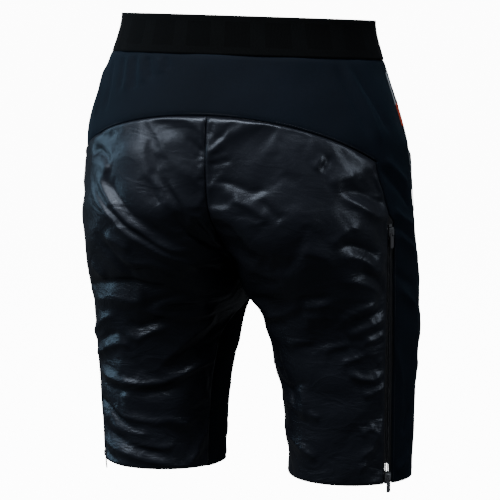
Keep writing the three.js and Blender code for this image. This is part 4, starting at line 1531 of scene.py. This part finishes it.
@dataclass
class ReflectiveStrip:
    """A narrow reflective strip beside the front seam."""

    side: Side
    place: str
    start: float
    end: float
    low_until: float = -10 * MM
    width: float = 3.0 * MM
    from_edge: float = 0.9 * MM
    low: float = 0.28 * MM
    high: float = 0.95 * MM
    thickness: float = 0.7 * MM

    def layout(self, across: Array, down: Array) -> Spots:
        """Along the seam."""
        drop = mix(self.start, self.end, down)
        seam = FORM.front_seam(drop)
        reach = FORM.front_opening(drop) + self.from_edge + across * self.width
        return np.full_like(across, self.side.value), seam + FORM.span_angle(seam, drop, reach), drop

    def build(self) -> bpy.types.Object:
        """Makes the strip, with a rounded edge."""
        patch = ClothPatch(f"grey_strip_{self.place}_{self.side.suffix}", 6, 60, self.layout)
        edge = 0.12 * MM * rounded(np.minimum(*patch.edges[:2]), 0.8 * MM)
        rise = smoothstep(patch.fall, self.low_until, self.low_until + 10 * MM)
        strip = patch.build(edge + mix(self.low, self.high, rise))
        thicken(strip, self.thickness)
        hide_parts(f"reflective_{self.place}_{self.side.suffix}")
        return dress(strip, TRIM)


@dataclass
class HangerLoop:
    """The tape loop inside the back of the waistband."""

    half: float = 28 * MM
    width: float = 5 * MM
    thickness: float = 1 * MM

    def build(self) -> bpy.types.Object:
        """Makes a bowed tape whose ends are sewn to the band."""
        low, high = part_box("hanger_loop")
        bm = bmesh.new()
        uv = bm.loops.layers.uv.new("cloth")
        bmesh.ops.create_grid(bm, x_segments=28, y_segments=4, size=0.5)
        for face in bm.faces:
            face.smooth = True
            for loop in face.loops:
                loop[uv].uv = (loop.vert.co.y * self.width, loop.vert.co.x * 2 * self.half)
        for vert in bm.verts:
            across, tall = vert.co.x * 2, vert.co.y
            bow = (1 - across**2) * (high.y - low.y - 1.6 * MM)
            middle = (low.z + high.z) / 2
            vert.co = (across * self.half, high.y - 0.3 * MM - bow, middle + tall * self.width)
        loop_piece = to_object(bm, "hanging_tape")
        thicken(loop_piece, self.thickness)
        loop_piece.modifiers["thickness"].offset = 0.0
        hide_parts("hanger_loop")
        return dress(loop_piece, TAPE)


def paint_node(name: str, finish: Finish) -> None:
    """Gives a CAD node a better material."""
    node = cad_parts[name]
    if not node.material_slots:
        node.data.materials.append(finish.material())
    for slot in node.material_slots:
        slot.material = finish.material()
    LOG.info("%s: keeps its shape, in %s", name, finish.name)


# ---- studio ------------------------------------------------------------------------------


@dataclass(frozen=True)
class SoftBox:
    """A soft light: where it stands, its size in metres, its power in watts and its colour."""

    name: str
    azimuth: float
    elevation: float
    distance: float
    size: tuple[float, float]
    power: float
    colour: Colour


SOFT_BOXES = (
    SoftBox("top_box", 170, 58, 2.0, (1.5, 0.7), 46, (0.93, 0.96, 1.0)),
    SoftBox("key_box", 138, 30, 2.2, (0.7, 1.1), 22, (0.9, 0.95, 1.0)),
    SoftBox("side_box", 92, 12, 2.2, (0.5, 1.6), 10, (0.5, 0.78, 1.0)),
    SoftBox("rim_box", 262, 24, 2.4, (0.4, 1.6), 15, (0.9, 0.95, 1.0)),
    SoftBox("front_box", 20, 35, 2.8, (1.6, 1.6), 30, (0.95, 0.97, 1.0)),
)


@dataclass
class Studio:
    """A pale floor and backdrop, soft lights and the camera."""

    azimuth: float = 200.0
    elevation: float = 7.5
    distance: float = 3.4
    lens: float = 207.0
    roll: float = 0.7
    target: tuple[float, float, float] = (-0.0054, -0.0019, -0.2756)
    floor_drop: float = 0.72
    wall_radius: float = 14.0
    wall_glow: float = 12.0
    fill: float = 0.06

    def direction(self, azimuth: float, elevation: float) -> Vector:
        """The direction from the object towards an azimuth and elevation, in degrees."""
        a, e = math.radians(azimuth), math.radians(elevation)
        return Vector((math.sin(a) * math.cos(e), -math.cos(a) * math.cos(e), math.sin(e)))

    def camera(self) -> None:
        """Makes the camera."""
        back = self.direction(self.azimuth, self.elevation)
        data = bpy.data.cameras.new("camera")
        data.lens, data.sensor_width = self.lens, 36.0
        data.clip_start, data.clip_end = 0.05, 60.0
        camera = bpy.data.objects.new("camera", data)
        bpy.context.scene.collection.objects.link(camera)
        right = Vector((0, 0, 1)).cross(back).normalized()
        up = back.cross(right)
        turn = Matrix.Rotation(math.radians(self.roll), 3, back)
        axes = Matrix((turn @ right, turn @ up, back)).transposed()
        place = Matrix.Translation(Vector(self.target) + back * self.distance)
        camera.matrix_world = place @ axes.to_4x4()
        bpy.context.scene.camera = camera

    def light(self, box: SoftBox) -> None:
        """Makes one soft box, aimed at the object."""
        data = bpy.data.lights.new(box.name, "AREA")
        data.shape, data.size, data.size_y, data.energy = "RECTANGLE", *box.size, box.power
        data.color = box.colour
        lamp = bpy.data.objects.new(box.name, data)
        bpy.context.scene.collection.objects.link(lamp)
        away = self.direction(box.azimuth, box.elevation)
        lamp.location = Vector(self.target) + away * box.distance
        lamp.rotation_euler = away.to_track_quat("Z", "Y").to_euler()

    def shine(self, name: str, strength: float) -> bpy.types.Material:
        """A pale, evenly lit surface of the set."""
        graph = Graph(name)
        grain = graph.noise(3.0, 2.0)
        colour = graph.blend(grain.step(0.3, 0.7), (0.92, 0.92, 0.92), (0.94, 0.94, 0.94))
        fixed = {"Specular IOR Level": 0.0, "Emission Color": (1.0, 1.0, 1.0),
                 "Emission Strength": strength}
        return graph.finish(colour, grain * 0.05 + 0.8, None, fixed)

    def set_piece(self, bm: bmesh.types.BMesh, name: str, strength: float) -> None:
        """Adds a part of the set that the camera sees, and that casts no light on the object."""
        piece = to_object(bm, name)
        piece.data.materials.append(self.shine(name, strength))
        piece.visible_diffuse = piece.visible_glossy = False
        piece.visible_transmission = piece.visible_volume_scatter = piece.visible_shadow = False

    def surroundings(self) -> None:
        """Makes the floor and the wall round the set."""
        bm = bmesh.new()
        bmesh.ops.create_circle(bm, cap_ends=True, segments=96, radius=self.wall_radius)
        bmesh.ops.translate(bm, verts=bm.verts, vec=(0, 0, -self.floor_drop))
        self.set_piece(bm, "floor", self.wall_glow)
        bm = bmesh.new()
        bmesh.ops.create_uvsphere(bm, u_segments=64, v_segments=32, radius=self.wall_radius)
        self.set_piece(bm, "wall", self.wall_glow)

    def sky(self) -> None:
        """Fills the shadows evenly from all round."""
        world = bpy.data.worlds.new("studio_air")
        world.use_nodes = True
        background = world.node_tree.nodes["Background"]
        background.inputs["Color"].default_value = (0.85, 0.92, 1.0, 1.0)
        background.inputs["Strength"].default_value = self.fill
        bpy.context.scene.world = world

    def build(self) -> None:
        """Makes the whole studio."""
        self.camera()
        self.surroundings()
        self.sky()
        for box in SOFT_BOXES:
            self.light(box)


# ---- folds -------------------------------------------------------------------------------

# Each row is a fold: its height and width in millimetres, then the angle in degrees and the
# drop in millimetres of each of its points.

SEAT_FOLDS: dict[Side, tuple[Fold, ...]] = {
    Side.LEFT: fold_rows(
        (5.4, 6.0, 47, 182, 56, 198, 65, 214, 76, 232, 88, 244, 100, 258, 110, 264, 122, 266),
        (5.1, 6.0, 43, 190, 53, 210, 62, 222, 74, 240, 85, 252, 98, 262, 109, 272, 122, 280, 136, 282),
        (-4.8, 4.0, 47, 196, 57, 212, 67, 226, 80, 242, 93, 254, 104, 264, 113, 270),
        (-5.1, 15.0, 54, 186, 66, 204, 77, 224, 92, 242, 108, 254),
        (-3.8, 4.0, 41, 160, 47, 156, 54, 162, 58, 170),
        (2.9, 9.0, 39, 168, 51, 172, 59, 178),
        (-2.9, 4.0, 42, 136, 50, 140, 58, 138),
        (-4.2, 4.0, 85, 180, 93, 196, 102, 214, 112, 234, 123, 252, 135, 266),
        (3.2, 5.0, 89, 184, 97, 200, 107, 220, 117, 238),
        (-2.9, 4.0, 99, 216, 106, 232, 114, 244, 122, 254),
        (-3.8, 4.0, 110, 220, 118, 236, 128, 252, 140, 268),
        (3.2, 4.0, 111, 216, 121, 236, 130, 250, 139, 262),
        (-3.8, 4.0, 110, 200, 118, 222, 129, 242, 141, 264),
        (2.6, 4.0, 83, 180, 91, 202, 97, 218),
        (-2.2, 3.0, 80, 184, 86, 202, 92, 214),
        (-4.5, 5.0, 62, 262, 72, 278, 79, 290, 87, 302),
        (4.5, 8.0, 76, 278, 88, 282, 99, 282, 110, 288, 117, 286),
        (3.5, 8.0, 64, 256, 76, 260, 86, 266),
        (3.2, 9.0, 46, 292, 54, 302, 60, 310),
        (-5.4, 6.0, 30, 326, 61, 314, 84, 310, 100, 314, 111, 312),
        (4.5, 12.0, 33, 344, 67, 332, 85, 332, 96, 328),
        (-4.2, 4.0, 92, 338, 100, 332, 108, 326, 118, 318, 127, 318),
        (3.8, 4.0, 100, 340, 109, 330, 118, 328, 127, 328),
        (-3.2, 3.5, 109, 342, 121, 338, 135, 336),
        (4.2, 4.0, 93, 344, 107, 346, 123, 350, 137, 346, 148, 344),
        (4.5, 8.0, 148, 348, 143, 360, 134, 370, 123, 386, 115, 400, 109, 412),
        (-4.5, 7.0, 153, 358, 148, 372, 139, 384, 127, 398, 120, 410, 113, 422),
        (3.8, 4.5, 79, 374, 90, 380, 101, 368, 113, 362),
        (-3.2, 5.0, 82, 360, 91, 366, 102, 358, 110, 352),
        (3.5, 5.0, 28, 388, 56, 362, 71, 352),
        (3.5, 5.0, 28, 414, 57, 396, 74, 388, 85, 388),
        (-2.9, 5.0, 29, 402, 60, 382, 74, 374),
        (4.8, 5.0, 29, 428, 54, 432, 77, 436, 97, 436, 112, 432, 125, 424, 141, 414, 154, 408),
        (-4.2, 6.0, 46, 442, 76, 448, 97, 446, 114, 442, 129, 436),
        (4.2, 5.0, 56, 464, 71, 478, 88, 480, 106, 482, 117, 480, 130, 486, 145, 482),
        (-3.8, 4.0, 30, 460, 52, 470, 65, 480, 81, 486),
        (3.5, 6.0, 53, 492, 74, 496, 90, 498, 102, 496),
        (3.5, 5.0, 74, 508, 95, 512, 110, 514, 123, 512),
        (4.8, 7.0, 30, 504, 53, 518, 74, 522, 96, 528, 110, 532, 125, 536),
        (-3.8, 5.0, 44, 496, 63, 506, 82, 512, 100, 518, 117, 520),
        (3.8, 6.0, 38, 532, 65, 542, 82, 544),
        (3.2, 5.0, 64, 534, 85, 540, 104, 544),
        (2.9, 4.0, 133, 536, 141, 528, 148, 522),
        (2.6, 5.0, 71, 456, 85, 448, 97, 446),
        (-2.6, 2.5, 93, 142, 97, 146, 99, 146),
        (-2.2, 2.5, 96, 154, 100, 154),
        (-2.6, 2.5, 98, 162, 101, 160),
        (-2.2, 2.5, 102, 180, 105, 180),
        (-1.9, 2.5, 90, 136, 95, 140),
    ),
    Side.RIGHT: fold_rows(
        (-4.2, 7.0, 101, 180, 93, 184, 86, 192, 78, 188),
        (-3.2, 5.0, 84, 200, 81, 214, 79, 226),
        (2.9, 6.0, 97, 200, 89, 210, 84, 224),
        (-2.9, 3.5, 54, 168, 49, 152),
        (2.9, 5.0, 57, 166, 52, 152),
        (-5.1, 8.0, 47, 188, 37, 192, 28, 200, 20, 208),
        (4.8, 6.0, 47, 196, 39, 206, 30, 218, 21, 224),
        (2.9, 5.0, 27, 168, 25, 186, 23, 202),
        (2.9, 7.0, 52, 182, 45, 174, 38, 172),
        (3.2, 7.0, 59, 254, 54, 242, 46, 232, 39, 232),
        (3.2, 8.0, 79, 256, 71, 260, 64, 264, 61, 276),
        (4.5, 7.0, 58, 264, 49, 264, 41, 270, 37, 282, 28, 286),
        (-4.2, 6.0, 56, 250, 47, 252, 38, 260, 32, 270),
        (-4.2, 5.0, 53, 282, 44, 284, 37, 292, 32, 304, 29, 318),
        (3.5, 5.0, 61, 290, 51, 294, 43, 300, 31, 314),
        (-3.5, 5.0, 94, 318, 82, 314, 70, 310),
        (3.8, 4.0, 92, 328, 82, 322, 69, 318),
        (3.8, 5.0, 138, 350, 109, 338, 92, 324),
        (3.5, 8.0, 95, 338, 85, 338, 73, 336),
        (4.5, 6.0, 71, 346, 61, 334, 49, 326, 36, 326),
        (-3.8, 5.0, 68, 352, 56, 344, 43, 336, 30, 332),
        (4.2, 5.0, 67, 356, 53, 352, 42, 346, 30, 338),
        (3.2, 4.0, 55, 366, 43, 366, 34, 358),
        (2.9, 5.0, 87, 380, 75, 374, 65, 372),
        (2.9, 5.0, 119, 376, 101, 370, 91, 368),
        (3.8, 4.0, 74, 394, 64, 390, 55, 384),
        (4.2, 4.5, 70, 404, 59, 412, 47, 414, 35, 406),
        (3.8, 4.5, 58, 434, 48, 430, 35, 422),
        (2.6, 3.0, 43, 396, 35, 390),
        (2.9, 4.0, 154, 406, 134, 408),
        (3.8, 5.0, 153, 484, 124, 496, 110, 504, 99, 512),
        (2.9, 5.0, 61, 480, 46, 470),
        (2.9, 4.0, 61, 506, 47, 498),
        (2.6, 4.0, 63, 520, 54, 516),
        (2.9, 5.0, 152, 450, 121, 448),
        (2.9, 4.0, 105, 456, 95, 462),
        (-3.2, 5.0, 150, 422, 125, 436, 123, 456),
        (2.9, 10.0, 113, 424, 109, 442, 113, 468),
        (-2.2, 2.5, 94, 134, 89, 130),
        (-2.2, 2.5, 98, 152, 90, 146),
        (-2.2, 2.5, 100, 162, 89, 156),
    ),
}

THIGH_FOLDS: dict[Side, tuple[Fold, ...]] = {
    Side.LEFT: fold_rows(
        (2.9, 6.9, -132, 290, -110, 278, -88, 262, -66, 250),
        (-2.9, 6.9, -130, 300, -105, 298, -80, 290, -58, 286),
        (2.7, 6.9, -134, 312, -112, 316, -90, 312, -70, 304),
        (2.5, 9.2, -34, 196, -56, 212, -78, 222),
        (2.4, 8.0, -34, 240, -56, 252, -76, 254, -94, 248),
        (-2.4, 6.9, -34, 272, -52, 286, -70, 292),
        (3.0, 8.0, -34, 330, -56, 344, -80, 348, -104, 340, -126, 326),
        (-2.5, 6.9, -36, 366, -58, 380, -82, 384, -104, 378),
        (3.0, 6.9, -40, 392, -62, 404, -88, 408, -112, 400, -134, 386),
        (2.4, 6.9, -44, 430, -66, 440, -90, 440),
        (2.2, 6.9, -124, 430, -102, 444, -80, 454),
        (2.7, 6.9, -40, 462, -62, 476, -86, 482, -108, 478),
        (2.5, 6.9, -46, 500, -70, 512, -96, 514, -118, 506),
        (1.9, 8.0, -94, 170, -84, 184, -74, 202),
        (-1.9, 6.9, -96, 212, -84, 222, -72, 234),
    ),
    Side.RIGHT: fold_rows(
        (2.9, 6.9, -134, 294, -112, 286, -90, 276, -70, 272),
        (-2.9, 6.9, -132, 306, -108, 306, -84, 300, -62, 292),
        (2.6, 6.9, -136, 320, -112, 326, -88, 324),
        (2.5, 9.2, -34, 188, -54, 200, -74, 204),
        (2.2, 8.0, -34, 226, -54, 240, -72, 246),
        (-2.4, 6.9, -34, 262, -54, 274, -72, 276),
        (2.9, 8.0, -34, 316, -58, 330, -82, 340, -106, 338),
        (2.6, 6.9, -34, 350, -56, 364, -78, 372),
        (-2.5, 6.9, -128, 356, -104, 366, -82, 388),
        (2.9, 6.9, -38, 404, -60, 418, -86, 424, -110, 418, -132, 402),
        (2.4, 6.9, -40, 440, -62, 452, -84, 456),
        (2.6, 6.9, -122, 450, -98, 468, -74, 478),
        (2.6, 6.9, -44, 492, -68, 504, -94, 506),
        (1.9, 8.0, -94, 180, -82, 192, -72, 212),
        (-1.9, 6.9, -98, 226, -86, 238, -78, 252),
    ),
}

STRETCH_FOLDS: dict[Side, tuple[Fold, ...]] = {
    Side.LEFT: fold_rows(
        (-3.1, 3.6, 41, 50, 45, 70, 48, 90),
        (2.7, 3.6, 46, 48, 50, 70, 53, 92),
        (-3.1, 3.6, 51, 48, 54, 68, 58, 88),
        (2.4, 3.6, 55, 48, 58, 66, 62, 80),
        (-2.7, 3.6, 59, 48, 62, 62, 65, 76),
        (3.1, 6.3, 19, 60, 28, 90, 32, 122),
        (-2.7, 4.5, 30, 54, 38, 84, 41, 114),
        (2.0, 4.5, 66, 50, 69, 68),
        (-2.0, 3.6, 69, 48, 72, 64),
    ),
    Side.RIGHT: fold_rows(
        (-3.1, 5.4, 37, 50, 33, 80, 30, 106, 27, 132),
        (2.7, 5.4, 32, 50, 28, 82, 24, 112, 20, 140),
        (-3.1, 4.5, 28, 52, 23, 80, 17, 108, 13, 128),
        (3.1, 5.4, 21, 154, 12, 168, -4, 194),
        (-3.1, 5.4, 25, 160, 16, 180, 5, 200, -6, 220),
        (3.1, 4.5, 16, 214, 7, 226, -12, 244),
        (-2.7, 4.5, 18, 232, 7, 242, -11, 260),
        (3.1, 5.4, 14, 242, 4, 256, -11, 272),
        (3.1, 5.4, 16, 308, 7, 322, -4, 336),
        (-2.7, 6.3, 19, 288, 10, 300, -4, 314),
        (2.4, 6.3, 24, 370, 17, 420, 19, 468),
        (-2.4, 5.4, 3, 454, 10, 470, 14, 488),
        (2.7, 5.4, 25, 530, 13, 524, 2, 512),
    ),
}


def build_half(side: Side) -> None:
    """Makes the pieces of one half of the garment."""
    tag = side.suffix
    for face, folds in ((Face.BACK, SEAT_FOLDS), (Face.FRONT, THIGH_FOLDS)):
        panel = PaddedPanel(side, face, folds[side])
        panel.build()
        panel.build_lining()
    for part in (InnerThigh(side), HemFacing(side), PocketBag(side)):
        part.build()
    ZipChain(FORM.side_zip, side, "zip", top=FORM.zip_top - 4 * MM, bottom=FORM.length - 1 * MM,
             coil_top=FORM.zip_top - 1 * MM, coil_bottom=FORM.length - 3.5 * MM,
             tape_width=12 * MM).build()
    ZipChain(FORM.pocket_zip, side, "pocket", top=FORM.pocket_top - 2 * MM,
             bottom=FORM.pocket_bottom + 2 * MM, coil_top=FORM.pocket_top,
             coil_bottom=FORM.pocket_bottom, tape_width=8 * MM).build()
    ReflectiveStrip(side, "upper", FORM.pocket_top + 4 * MM, 97 * MM).build()
    ReflectiveStrip(side, "lower", FORM.pocket_bottom + 6 * MM, 225.8 * MM, low_until=22 * MM).build()
    for name in ("zip_top_stop", "zip_bottom_stop", "zip_upper_slider", "zip_lower_slider",
                 "pocket_slider"):
        paint_node(f"{name}_{tag}", METAL)
    for name in ("zip_upper_pull", "zip_lower_pull"):
        paint_node(f"{name}_{tag}", PULL)
    paint_node(f"pocket_pull_{tag}", ACCENT)


def main() -> None:
    """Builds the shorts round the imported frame, and the studio round them."""
    logging.basicConfig(level=logging.INFO, format="%(name)s %(message)s")
    Waistband().build()
    StretchBody(folds=STRETCH_FOLDS).build()
    FrontYoke().build()
    HangerLoop().build()
    for side in Side:
        build_half(side)
    Stitching().build()
    Studio().build()


if __name__ == "__main__":
    main()
